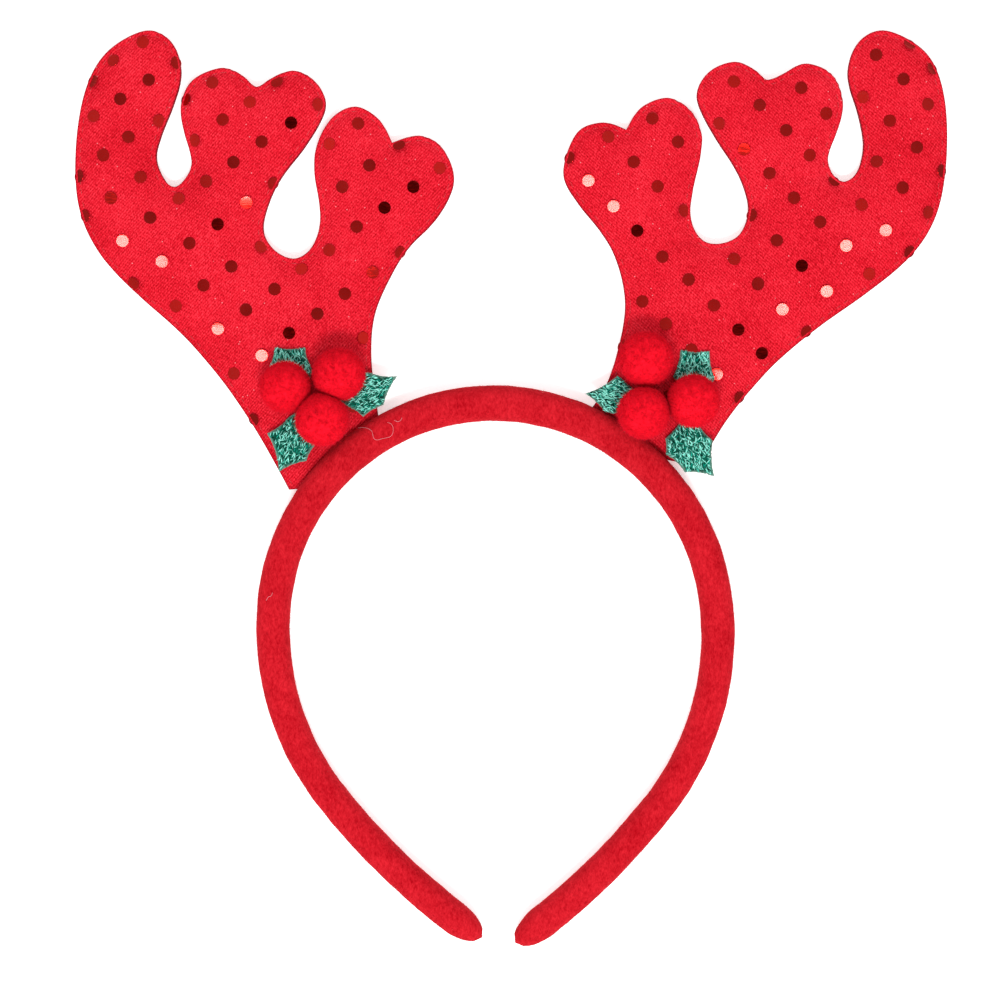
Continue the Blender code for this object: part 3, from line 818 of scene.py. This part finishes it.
def make_stray_hairs(band):
    """Thin pale hairs that lie curled on the felt."""
    finish = Finish("pale_hair", Roughness=0.5, Specular_IOR_Level=0.3)
    curl = finish.noise(finish.place(), 900, 2.0)
    finish.set("Base Color", finish.mix(curl, (0.72, 0.20, 0.24), (0.80, 0.42, 0.45)))
    tree = triangles_from(band)
    starts, steps = [], []
    for points in STRAY_HAIRS.values():
        path = smooth_loop(np.array(points + points[-2:0:-1]), 0.25, 150)
        path = path[:len(path) // 2]
        heights = []
        for x, y in path:
            hit = tree.ray_cast(Vector((x, y, 30)), Vector((0, 0, -1)))[0]
            heights.append((hit.z if hit else 8.6) + 0.12)
        line = np.column_stack((path, heights))
        starts += list(line[:-1])
        steps += list(line[1:] - line[:-1])
    deselect_all()
    bpy.ops.mesh.primitive_cylinder_add(vertices=5, radius=1, depth=1, location=(0, 0, 0.5))
    template = template_of(bpy.context.object)
    steps = np.array(steps)
    lengths = np.linalg.norm(steps, axis=1) * 1.12
    bases = bases_along(steps, lengths, np.full(len(steps), 0.045), np.zeros(len(steps)))
    hairs = copies("stray_hairs", template, bases, np.array(starts), np.zeros(len(steps)), finish.material)
    discard(template)
    return hairs


# The antlers

def stuffed_thickness(points, depth, index, seed):
    """The thickness that the cloth starts from: a flat hem, a dip at the seam and the round stuffing."""
    hem = bpy.context.scene.headband_knit.hem / MM
    inward = np.clip((depth - hem - 0.15) / 8.5, 0, 1)
    puffed = 0.50 + 1.55 * np.sqrt(1 - (1 - inward) ** 2)
    flat = 0.86 - 0.34 * np.clip(depth / hem, 0, 1) ** 3
    thick = np.where(depth < hem + 0.15, flat, puffed)
    pucker = np.array([noise.noise(Vector((i * 0.21, seed, 0.0))) for i in index])
    thick += pucker * 0.30 * np.exp(-np.abs(depth - hem - 1.6) / 2.2) * (depth > hem + 0.15)
    broad = np.array([noise.noise(Vector((x * 0.06, y * 0.06, seed))) for x, y in points])
    small = np.array([noise.noise(Vector((x * 0.22, y * 0.22, seed + 5))) for x, y in points])
    return thick + (broad * 0.30 + small * 0.14) * np.clip((depth - 2.5) / 4, 0, 1)


def frame_thickness(node, facing, points):
    """The CAD panel's thickness over each point."""
    surface = triangles_from(frame["nodes"][node])
    found = np.full(len(points), 1.05)
    for i, (x, y) in enumerate(points):
        hit = surface.ray_cast(Vector((x, y, ANTLER_MIDDLE + facing * 20)), Vector((0, 0, -facing)))[0]
        if hit:
            found[i] = abs(hit.z - ANTLER_MIDDLE) - HALF_GAP
    return found


def swollen(points, faces, sewn):
    """The cloth's points after the stuffing has swelled it, in a cloth simulation held along the seams.

    It runs at twenty times the real size, where the solver is steady.
    """
    enlarged = 20 * MM
    mesh = bpy.data.meshes.new("swelling")
    mesh.from_pydata((points * enlarged).tolist(), [], faces)
    cloth = bpy.data.objects.new("swelling", mesh)
    scene = bpy.context.scene
    scene.collection.objects.link(cloth)
    group = cloth.vertex_groups.new(name="sewn")
    group.add([int(i) for i in np.flatnonzero(sewn)], 1.0, "REPLACE")
    choose(cloth)
    modifier = cloth.modifiers.new("stuffing", "CLOTH")
    settings = modifier.settings
    settings.quality = 5
    settings.mass = 0.002
    settings.air_damping = 3
    settings.tension_stiffness = 8
    settings.compression_stiffness = 4
    settings.shear_stiffness = 3
    settings.bending_stiffness = 0.15
    settings.use_pressure = True
    settings.uniform_pressure_force = 4
    settings.shrink_min = -0.025
    settings.vertex_group_mass = "sewn"
    settings.effector_weights.gravity = 0
    modifier.collision_settings.use_collision = False
    modifier.point_cache.frame_start = 1
    modifier.point_cache.frame_end = 20
    for number in range(1, 21):
        scene.frame_set(number)
    bpy.ops.object.modifier_apply(modifier=modifier.name)
    moved = np.array([v.co for v in cloth.data.vertices]) / enlarged
    scene.frame_set(1)
    discard(cloth)
    return moved


def make_panel(side, where, facing, finish):
    node = "antler_" + side + "_" + where
    spacing = 1.5 if facing > 0 else 2.2
    loop = smooth_loop(flat_loop(node, ANTLER_MIDDLE + facing * HALF_GAP), 0.9)
    hem = bpy.context.scene.headband_knit.hem / MM
    points = np.vstack((loop, inset_loop(loop, INNER_ROW), inset_loop(loop, hem),
                        lattice_in(loop, spacing, hem + 0.8, 3)))
    depth, index = nearest_edge(loop, points)
    depth[:len(loop)] = 0
    seed = 3.1 * PANELS.index((side, where, facing)) + 1
    limit = frame_thickness(node, facing, points)
    room = np.clip((limit - 1.06) / 0.5, 0, 1)
    most = limit + (0.30 if facing > 0 else -0.25) * room
    thick = np.minimum(stuffed_thickness(points, depth, index, seed), most)
    faces = [tuple(f) for f in filled(points, len(loop))]
    count = len(loop)
    start = np.column_stack((points, thick))
    moved = swollen(start, faces, (depth < hem + 0.2) | (room == 0))
    drift = moved[:, :2] - points
    reach = np.linalg.norm(drift, axis=1)[:, None]
    points = points + drift * np.minimum(1, 0.35 / np.maximum(reach, 1e-6))
    free = (depth >= hem + 0.2) & (room > 0)
    soft = most * np.tanh(np.clip(moved[:, 2], 0.3, None) / most * 1.15)
    print("swelled", node, "by up to %.2f mm," % float((moved[:, 2] - thick).max()),
          "%.2f mm in the middle" % float(np.median((moved[:, 2] - thick)[free])))
    thick = np.where(free, soft, thick)
    under = filled(loop, count)
    upper = np.column_stack((points, ANTLER_MIDDLE + facing * (HALF_GAP + thick)))
    lower = np.column_stack((loop, np.full(count, ANTLER_MIDDLE + facing * HALF_GAP)))
    first = len(upper)
    all_faces = faces + [tuple(first + i for i in reversed(f)) for f in under]
    all_faces += [(first + i, first + (i + 1) % count, (i + 1) % count, i) for i in range(count)]
    if facing < 0:
        all_faces = [f[::-1] for f in all_faces]
    panel = new_object(node + "_cloth", np.vstack((upper, lower)), all_faces, finish)
    # Painted shade: edge is 1 at the cut edge and on the side wall, where the knit is painted nearly black.
    edge = np.clip(1 - depth / 0.30, 0, 1)
    point_values(panel, "edge", np.concatenate((edge, np.ones(count))))
    rim = panel.data.attributes.new("crease_edge", "FLOAT", "EDGE")
    ends = [tuple(e.vertices) for e in panel.data.edges]
    border = [float((a < count or a >= first) and (b < count or b >= first)) for a, b in ends]
    rim.data.foreach_set("value", border)
    smoother = panel.modifiers.new("cloth", "SUBSURF")
    smoother.levels = smoother.render_levels = 1
    choose(panel)
    bpy.ops.object.modifier_apply(modifier=smoother.name)
    panel.data.set_sharp_from_angle(angle=math.radians(55))
    return panel, loop


def surface_at(tree, x, y, facing):
    """(height, outward normal) of a panel's cloth over a point, or nothing beside it."""
    hit, normal, _, _ = tree.ray_cast(Vector((x, y, ANTLER_MIDDLE + facing * 20)), Vector((0, 0, -facing)))
    if hit is None:
        return None
    return hit.z, np.array(normal)


def make_stitches(side, where, facing, panel, loop, finish):
    """A row of short stitches along the seam, each pulled into the cloth at its ends."""
    settings = bpy.context.scene.headband_knit
    line = inset_loop(loop, settings.hem / MM)
    tree = triangles_from(panel)
    deselect_all()
    bpy.ops.mesh.primitive_cylinder_add(vertices=6, radius=1, depth=1, end_fill_type="TRIFAN")
    stitch = bpy.context.object
    bpy.ops.object.mode_set(mode="EDIT")
    bpy.ops.mesh.select_all(action="SELECT")
    bpy.ops.mesh.bisect(plane_co=(0, 0, 0.2), plane_no=(0, 0, 1))
    bpy.ops.mesh.select_all(action="SELECT")
    bpy.ops.mesh.bisect(plane_co=(0, 0, -0.2), plane_no=(0, 0, 1))
    bpy.ops.object.mode_set(mode="OBJECT")
    for vert in stitch.data.vertices:
        if abs(vert.co.z) > 0.4:
            vert.co.x *= 0.55
            vert.co.y = vert.co.y * 0.55 - 0.9
    template = template_of(stitch)
    chance = np.random.default_rng(STITCH_SEEDS[where])
    step = settings.stitch_step / MM
    travelled = 0.0
    directions, places, ups = [], [], []
    for a, b in zip(line, np.roll(line, -1, axis=0)):
        gap = float(np.linalg.norm(b - a))
        if gap > 2.5:
            continue
        travelled += gap
        if travelled < step:
            continue
        travelled -= step
        found = surface_at(tree, a[0], a[1], facing)
        if found is None or outside_crown_arc(side, a) < BAND_HALF_AT_CROWN + 1.0:
            continue
        directions.append((*(b - a) / gap, 0.0))
        places.append((a[0], a[1], found[0] + facing * 0.06))
        ups.append((0, 0, facing))
    directions = np.array(directions)
    ups = np.array(ups, float)
    across = np.cross(directions, ups)
    length = chance.uniform(0.55, 0.72, (len(places), 1)) * step
    bases = np.stack((across * 0.13, ups * 0.13, directions * length), axis=1)
    piece = copies("stitches_" + side + "_" + where, template, bases, np.array(places),
                   chance.uniform(0, 1, len(places)), finish)
    discard(template)
    return piece


def sequin_template():
    """A thin disc, dished a little, with a soft rim."""
    settings = bpy.context.scene.headband_sequin
    radius, thick = settings.radius / MM, settings.thickness / MM
    deselect_all()
    bpy.ops.mesh.primitive_cylinder_add(vertices=22, radius=radius, depth=thick, end_fill_type="NGON")
    disc = bpy.context.object
    bpy.ops.object.mode_set(mode="EDIT")
    bpy.ops.mesh.select_all(action="SELECT")
    bpy.ops.mesh.bevel(offset=thick * 0.3, segments=1, affect="EDGES")
    bpy.ops.object.mode_set(mode="OBJECT")
    bpy.ops.object.mode_set(mode="EDIT")
    bpy.ops.mesh.select_mode(type="FACE")
    bpy.ops.mesh.select_all(action="DESELECT")
    bpy.ops.object.mode_set(mode="OBJECT")
    for face in disc.data.polygons:
        face.select = abs(face.normal.z) > 0.9
    bpy.ops.object.mode_set(mode="EDIT")
    bpy.ops.mesh.inset(thickness=radius * 0.35, use_individual=True)
    bpy.ops.transform.translate(value=(0, 0, -thick * 0.12))
    bpy.ops.object.mode_set(mode="OBJECT")
    disc.data.shade_smooth()
    return template_of(disc)


def sequin_places(side):
    """{(row, column): (x, y)} over the whole cloth."""
    origin, along = np.array(SEQUIN_ORIGIN[side]), np.array(SEQUIN_ALONG[side])
    across, twist, bow = (np.array(t[side]) for t in (SEQUIN_ACROSS, SEQUIN_TWIST, SEQUIN_BOW))
    return {(i, j): origin + i * along + j * across + i * j * twist + j * j * bow
            for i in range(-14, 15) for j in range(-10, 11)}


def make_sequins(side, where, facing, panel, loop, finish):
    """Discs on the cloth: most lie as it does, those at the hem bend over it, some lean to the light."""
    tree = triangles_from(panel)
    chance = np.random.default_rng(21 if side == "left" else 22)
    radius = bpy.context.scene.headband_sequin.radius / MM
    places, bases, tones = [], [], []
    camera = camera_place()
    aim = SOFTBOX + np.array((SIDES[side] * SOFTBOX_AIM, 0, 0))
    for key, place in sequin_places(side).items():
        jitter = chance.normal(0, 0.22, 2)
        spare = chance.normal(0, 1, 4)
        place = place + jitter
        if facing < 0:
            place = place + np.array((3.1, 2.3))
        gap, edge = nearest_edge(loop, place[None])
        gap, edge = gap[0], edge[0]
        along = unit(loop[(edge + 1) % len(loop)] - loop[edge])
        outward = np.array((along[1], -along[0], 0))
        if not inside(loop, place[None])[0]:
            gap = -gap
        under_band = outside_crown_arc(side, place) < BAND_HALF_AT_CROWN + 2.2
        if under_band or gap < (-0.6 if facing > 0 else 2.0):
            continue
        if gap < 1.3:
            place = place + outward[:2] * (gap - 1.3)
            gap = 1.3
        found = surface_at(tree, place[0], place[1], facing)
        if found is None:
            continue
        height, normal = found
        point = np.array((place[0], place[1], height))
        to_eye = unit(camera - point)
        to_glint = unit(to_eye + unit(aim - point))
        to_dark = unit(to_eye + np.array((0.0, 0.0, 1.0)))
        wobble = np.array((spare[0], spare[1], 0))
        if facing > 0 and gap < 3.2 and key not in SEQUINS_LIT[side]:
            turn = math.radians(46 - 6 * gap)
            normal = outward * math.sin(turn) + np.array((0, 0, facing * math.cos(turn)))
        elif facing < 0:
            normal = normal * np.array((0.5, 0.5, 1.0)) + wobble * 0.02
        elif key in SEQUINS_LIT[side]:
            normal = to_glint + wobble * 0.012
        elif key in SEQUINS_HALF_LIT[side]:
            normal = to_glint + wobble * 0.02 + np.array((spare[2] * 0.04, 0.055, 0))
        elif key in SEQUINS_DARK[side]:
            normal = to_dark + wobble * 0.01
        else:
            normal = normal * np.array((0.8, 0.8, 1.0)) + wobble * 0.05
            aside = normal[:2] / normal[2] - to_dark[:2]
            off = float(np.linalg.norm(aside))
            if off < SEQUIN_TURNED_AWAY[side]:
                normal[:2] += aside / max(off, 0.001) * (SEQUIN_TURNED_AWAY[side] - off)
        normal = unit(normal)
        sideways = unit(np.cross(normal, (0.0, 1.0, 0.0)))
        base = np.array((sideways, np.cross(normal, sideways), normal))
        lift = 0.0
        for angle in np.arange(0, math.tau, 0.5):
            for share in (0.55, 0.97):
                rim = point + radius * share * (base[0] * math.cos(angle) + base[1] * math.sin(angle))
                under = surface_at(tree, rim[0], rim[1], facing)
                if under is not None:
                    over = np.array((rim[0], rim[1], under[0]))
                    lift = max(lift, float((over - point) @ normal))
        lift = min(lift, 0.9 if gap > 1.5 else 0.35) + (0.2 if key in SEQUINS_LIT[side] else 0.07)
        bases.append(base)
        places.append(point + normal * lift)
        tones.append(chance.uniform(0, 1))
    template = sequin_template()
    name = "sequins_" + side + "_" + where
    piece = copies(name, template, np.array(bases), np.array(places), np.array(tones), finish)
    discard(template)
    piece.data.set_sharp_from_angle(angle=math.radians(35))
    return piece


def camera_place():
    """Where the camera stands, in millimetres."""
    settings = bpy.context.scene.headband_stage
    distance = settings.picture * settings.lens / SENSOR_WIDTH / MM
    return np.array((*PICTURE_MIDDLE, distance + PICTURE_LEVEL))


# The leaves

def make_leaf(node, settings, base_finish, foil_finish):
    """A leaf's body with a frayed edge, and the tinsel strands pressed into its face."""
    chance = np.random.default_rng(40 + list(LEAVES).index(node))
    loop = smooth_loop(flat_loop(node, LEAF_TOP), 0.35, 25)
    loop = loop + chance.normal(0, 0.05, loop.shape)
    points = np.vstack((loop, lattice_in(loop, 0.8, 0.45, 6)))
    depth, _ = nearest_edge(loop, points)
    depth[:len(loop)] = 0
    middle = loop.mean(axis=0)
    reach = np.hypot(*(points - middle).T)
    lift = np.array([noise.noise(Vector((x * 0.3, y * 0.3, 2.0))) for x, y in points]) * 0.18
    lift += np.clip((reach - 5) / 8, 0, 1) ** 2 * 0.5
    count = len(loop)
    faces = filled(points, count)
    upper = np.column_stack((points, LEAF_FACE + lift + 0.12 * np.clip(depth / 0.5, 0, 1)))
    lower = np.column_stack((points, LEAF_UNDERSIDE + lift))
    first = len(points)
    all_faces = [tuple(f) for f in faces] + [tuple(first + i for i in reversed(f)) for f in faces]
    all_faces += [(first + i, first + (i + 1) % count, (i + 1) % count, i) for i in range(count)]
    leaf = new_object(node + "_leaf", np.vstack((upper, lower)), all_faces, base_finish)
    edge = np.clip(1 - depth / 0.4, 0, 1)
    point_values(leaf, "edge", np.concatenate((edge, edge)))
    tree = triangles_from(leaf)
    number = settings.strands
    way = math.radians(LEAVES[node])
    picks = loop.min(axis=0) + chance.uniform(0, 1, (number * 3, 2)) * (loop.max(axis=0) - loop.min(axis=0))
    picks = picks[inside(loop, picks)]
    picks = picks[nearest_edge(loop, picks)[0] > 0.45][:number]
    angles = way + chance.choice((-0.6, 0.0, 0.5), len(picks)) + chance.normal(0, 0.35, len(picks))
    places, directions = [], []
    for (x, y), angle in zip(picks, angles):
        hit = tree.ray_cast(Vector((x, y, 20)), Vector((0, 0, -1)))[0]
        places.append((x, y, hit.z + 0.02))
        directions.append((math.cos(angle), math.sin(angle), chance.normal(0, 0.16)))
    number = len(places)
    deselect_all()
    bpy.ops.mesh.primitive_cylinder_add(vertices=4, radius=1, depth=1)
    strand = bpy.context.object
    bpy.ops.object.mode_set(mode="EDIT")
    bpy.ops.mesh.select_all(action="SELECT")
    bpy.ops.mesh.bisect(plane_co=(0, 0, 0), plane_no=(0, 0, 1))
    bpy.ops.object.mode_set(mode="OBJECT")
    for vert in strand.data.vertices:
        if abs(vert.co.z) > 0.4:
            vert.co.x *= 0.35
            vert.co.y *= 0.5
        else:
            vert.co.y += 1.2
    template = template_of(strand)
    lengths = chance.uniform(0.8, 1.8, number)
    widths = np.stack((chance.uniform(0.09, 0.17, number), np.full(number, 0.022)), axis=1)
    # Each strand's tone picks its painted reflection, from nearly black to mint.
    tones = chance.beta(0.60, 0.60, number)
    places = np.array(places)
    places[:, 2] += 0.05 + 0.28 * tones
    directions = np.array(directions)
    bases = strand_bases(directions, lengths, widths, chance.normal(0, 0.55, number))
    foil = copies(node + "_tinsel", template, bases, places, tones, foil_finish, smooth=False)
    discard(template)
    return leaf, foil


def strand_bases(directions, lengths, widths, rolls):
    """Bases for flat strands whose broad side faces up, give or take a roll."""
    directions = directions / np.linalg.norm(directions, axis=1)[:, None]
    side = np.cross(directions, (0.0, 0.0, 1.0))
    side /= np.linalg.norm(side, axis=1)[:, None]
    up = np.cross(side, directions)
    turned = side * np.cos(rolls)[:, None] + up * np.sin(rolls)[:, None]
    normal = np.cross(turned, directions)
    return np.stack((turned * widths[:, :1], normal * widths[:, 1:], directions * lengths[:, None]), axis=1)


# The pompoms

def pompom_centre(name):
    x, y, radius, lift = POMPOMS[name]
    return np.array((x + CROWN[0], y + CROWN[1], POMPOM_BOTTOM + lift + radius - POMPOM_SQUASHED))


def pompom_limits(name):
    """Planes (point, outward direction) that the pompom stays behind: its glued flat and its neighbours."""
    centre, radius = pompom_centre(name), POMPOMS[name][2]
    limits = [(np.array((0, 0, POMPOM_BOTTOM + POMPOMS[name][3])), np.array((0.0, 0.0, -1.0)))]
    for other in POMPOMS:
        if other == name or POMPOMS[other][0] * POMPOMS[name][0] < 0:
            continue
        apart = pompom_centre(other) - centre
        distance = float(np.linalg.norm(apart))
        if distance < radius + POMPOMS[other][2] + 0.3:
            meeting = (distance ** 2 + radius ** 2 - POMPOMS[other][2] ** 2) / (2 * distance)
            towards = apart / distance
            limits.append((centre + towards * (meeting - HALF_GAP), towards))
    return limits


def held_behind(points, limits, margin=0.0):
    for place, away in limits:
        over = np.clip((points - place) @ away + margin, 0, None)
        points = points - over[:, None] * away
    return points


def make_pompom(name, settings, finish):
    chance = np.random.default_rng(60 + list(POMPOMS).index(name))
    centre, radius = pompom_centre(name), POMPOMS[name][2] * 1.015
    limits = pompom_limits(name)
    pile = settings.pile / MM
    deselect_all()
    bpy.ops.mesh.primitive_ico_sphere_add(subdivisions=5, radius=1.0)
    core = bpy.context.object
    points = np.array([v.co for v in core.data.vertices])
    swell = np.array([noise.noise(Vector(p) * 3.5) * 0.022 + noise.noise(Vector(p) * 11) * 0.030
                      for p in points])
    shaped = held_behind(centre + points * ((radius - pile) * (1 + swell))[:, None], limits, 0.12)
    core.data.vertices.foreach_set("co", (shaped * MM).astype(np.float32).ravel())
    core.data.update()
    core.data.shade_smooth()
    core.data.materials.append(finish)
    core.name = name + "_core"
    point_values(core, "tone", np.clip(0.55 + swell * 4, 0, 1))
    number = settings.fibres
    directions = chance.normal(0, 1, (number, 3))
    directions /= np.linalg.norm(directions, axis=1)[:, None]
    clumps = np.array([noise.noise(Vector(d) * 11 + Vector((0, 0, 7))) for d in directions])
    roots = held_behind(centre + directions * (radius - pile - 0.15), limits, 0.12)
    bent = directions + chance.normal(0, 0.55, (number, 3))
    bent /= np.linalg.norm(bent, axis=1)[:, None]
    lengths = (pile + 0.25) * chance.uniform(0.75, 1.15, number) * (1 + clumps * 0.25)
    stray = chance.uniform(0, 1, number) < 0.20
    lengths *= np.where(stray, chance.uniform(1.3, 2.1, number), 1.0)
    widths = np.where(stray, 0.035, chance.uniform(0.05, 0.10, number))
    tips = held_behind(roots + bent * lengths[:, None], limits, -0.10)
    bent = tips - roots
    lengths = np.linalg.norm(bent, axis=1)
    clear = lengths > 0.05
    roots, bent, lengths = roots[clear], bent[clear], lengths[clear]
    clumps, widths = clumps[clear], widths[clear]
    number = len(roots)
    template = fibre_template()
    tones = np.clip(0.64 + clumps * 0.35 + chance.normal(0, 0.12, number), 0, 1)
    bases = bases_along(bent, lengths, widths, chance.uniform(0, 6.28, number))
    fluff = copies(name + "_fluff", template, bases, roots, tones, finish)
    discard(template)
    deselect_all()
    core.select_set(True)
    fluff.select_set(True)
    bpy.context.view_layer.objects.active = core
    bpy.ops.object.join()
    return core


# Operators, one for each piece or group of like pieces

class HEADBAND_OT_band(Operator):
    """Cover the band with brushed felt"""
    bl_idname = "headband.band"
    bl_label = "Felt band"

    def execute(self, context):
        settings = context.scene.headband_felt
        band = make_band(settings)
        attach(band, "root")
        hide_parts("felt_band")
        for piece in (make_band_fuzz(settings), make_stray_hairs(band)):
            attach(piece, "root")
        return {"FINISHED"}


class HEADBAND_OT_antlers(Operator):
    """Sew and stuff the antlers, with their seams and sequins"""
    bl_idname = "headband.antlers"
    bl_label = "Sequin antlers"

    def execute(self, context):
        knit = context.scene.headband_knit
        cloth = {"left": knit_finish("red_knit_left", 48, knit),
                 "right": knit_finish("red_knit_right", 138, knit)}
        foil = sequin_finish(context.scene.headband_sequin)
        thread = thread_finish()
        for side, where, facing in PANELS:
            panel, loop = make_panel(side, where, facing, cloth[side])
            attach(panel, "root")
            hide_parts("antler_" + side + "_" + where)
            for piece in (make_stitches(side, where, facing, panel, loop, thread),
                          make_sequins(side, where, facing, panel, loop, foil)):
                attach(piece, "root")
        return {"FINISHED"}


class HEADBAND_OT_holly(Operator):
    """Lay the tinsel holly leaves"""
    bl_idname = "headband.holly"
    bl_label = "Holly leaves"

    def execute(self, context):
        settings = context.scene.headband_holly
        base, foil = leaf_base_finish(settings), tinsel_finish(settings)
        for node in LEAVES:
            leaf, tinsel = make_leaf(node, settings, base, foil)
            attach(leaf, "root")
            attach(tinsel, "root")
            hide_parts(node)
        return {"FINISHED"}


class HEADBAND_OT_pompoms(Operator):
    """Make the pompoms"""
    bl_idname = "headband.pompoms"
    bl_label = "Pompoms"

    def execute(self, context):
        settings = context.scene.headband_pompom
        finish = fibre_finish("pompom_fibre", settings.dark, settings.light)
        for name in POMPOMS:
            pompom = make_pompom(name, settings, finish)
            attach(pompom, "root")
            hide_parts(name)
        return {"FINISHED"}


class HEADBAND_OT_stage(Operator):
    """Set the paper, the lights and the camera"""
    bl_idname = "headband.stage"
    bl_label = "Stage"

    def execute(self, context):
        settings = context.scene.headband_stage
        deselect_all()
        bpy.ops.mesh.primitive_plane_add(size=6.0, location=(0, 0, -0.0003))
        paper = context.object
        paper.name = "paper"
        paper.data.materials.append(paper_finish())
        make_lights(settings)
        place = Vector(camera_place()) * MM
        camera = bpy.data.cameras.new("camera")
        camera.lens = settings.lens
        camera.sensor_width = SENSOR_WIDTH
        camera.clip_end = 20.0
        holder = bpy.data.objects.new("camera", camera)
        holder.location = place
        context.scene.collection.objects.link(holder)
        context.scene.camera = holder
        context.scene.view_settings.view_transform = "Standard"
        context.scene.view_settings.look = "None"
        return {"FINISHED"}


def make_lights(settings):
    """A white room, darker at the walls and straight above, and a softbox beyond the band's ends."""
    world = bpy.data.worlds.new("studio")
    bpy.context.scene.world = world
    world.use_nodes = True
    tree = world.node_tree
    sky = tree.nodes["Background"]
    coordinates = tree.nodes.new("ShaderNodeTexCoord")
    split = tree.nodes.new("ShaderNodeSeparateXYZ")
    ramp = tree.nodes.new("ShaderNodeValToRGB")
    tree.links.new(coordinates.outputs["Generated"], split.inputs[0])
    tree.links.new(split.outputs["Z"], ramp.inputs["Fac"])
    tree.links.new(ramp.outputs["Color"], sky.inputs["Color"])
    stops = ramp.color_ramp.elements
    for stop, (position, level) in zip(stops, (ROOM_LEVELS[0], ROOM_LEVELS[-1])):
        stop.position, stop.color = position, (level, level, level, 1)
    for position, level in ROOM_LEVELS[1:-1]:
        stops.new(position).color = (level, level, level, 1)
    sky.inputs["Strength"].default_value = ROOM_STRENGTH
    light = bpy.data.lights.new("softbox", "AREA")
    light.shape = "RECTANGLE"
    light.size, light.size_y = SOFTBOX_SIZE[0] * MM, SOFTBOX_SIZE[1] * MM
    light.energy = settings.softbox
    holder = bpy.data.objects.new("softbox", light)
    holder.location = Vector(SOFTBOX) * MM
    holder.rotation_euler = Vector(SOFTBOX).to_track_quat("Z", "Y").to_euler()
    bpy.context.scene.collection.objects.link(holder)


class HEADBAND_PT_pieces(Panel):
    """The pieces in the order in which they are made"""
    bl_label = "Reindeer antler headband"
    bl_space_type = "VIEW_3D"
    bl_region_type = "UI"
    bl_category = "Headband"

    def draw(self, context):
        for operator in OPERATORS:
            self.layout.operator(operator.bl_idname, text=operator.bl_label)
        for name in SETTINGS:
            group = getattr(context.scene, name)
            for item in group.bl_rna.properties:
                if item.identifier not in ("rna_type", "name"):
                    self.layout.prop(group, item.identifier)


OPERATORS = (HEADBAND_OT_band, HEADBAND_OT_antlers, HEADBAND_OT_holly, HEADBAND_OT_pompoms, HEADBAND_OT_stage)
SETTINGS = {
    "headband_knit": KnitSettings,
    "headband_sequin": SequinSettings,
    "headband_felt": FeltSettings,
    "headband_pompom": PompomSettings,
    "headband_holly": HollySettings,
    "headband_stage": StageSettings,
}


def register():
    for name, group in SETTINGS.items():
        bpy.utils.register_class(group)
        setattr(bpy.types.Scene, name, PointerProperty(type=group))
    for operator in OPERATORS:
        bpy.utils.register_class(operator)
    bpy.utils.register_class(HEADBAND_PT_pieces)


def unregister():
    bpy.utils.unregister_class(HEADBAND_PT_pieces)
    for operator in reversed(OPERATORS):
        bpy.utils.unregister_class(operator)
    for name, group in SETTINGS.items():
        delattr(bpy.types.Scene, name)
        bpy.utils.unregister_class(group)


def main():
    register()
    bpy.ops.headband.band()
    bpy.ops.headband.antlers()
    bpy.ops.headband.holly()
    bpy.ops.headband.pompoms()
    bpy.ops.headband.stage()


if __name__ == "__main__":
    main()
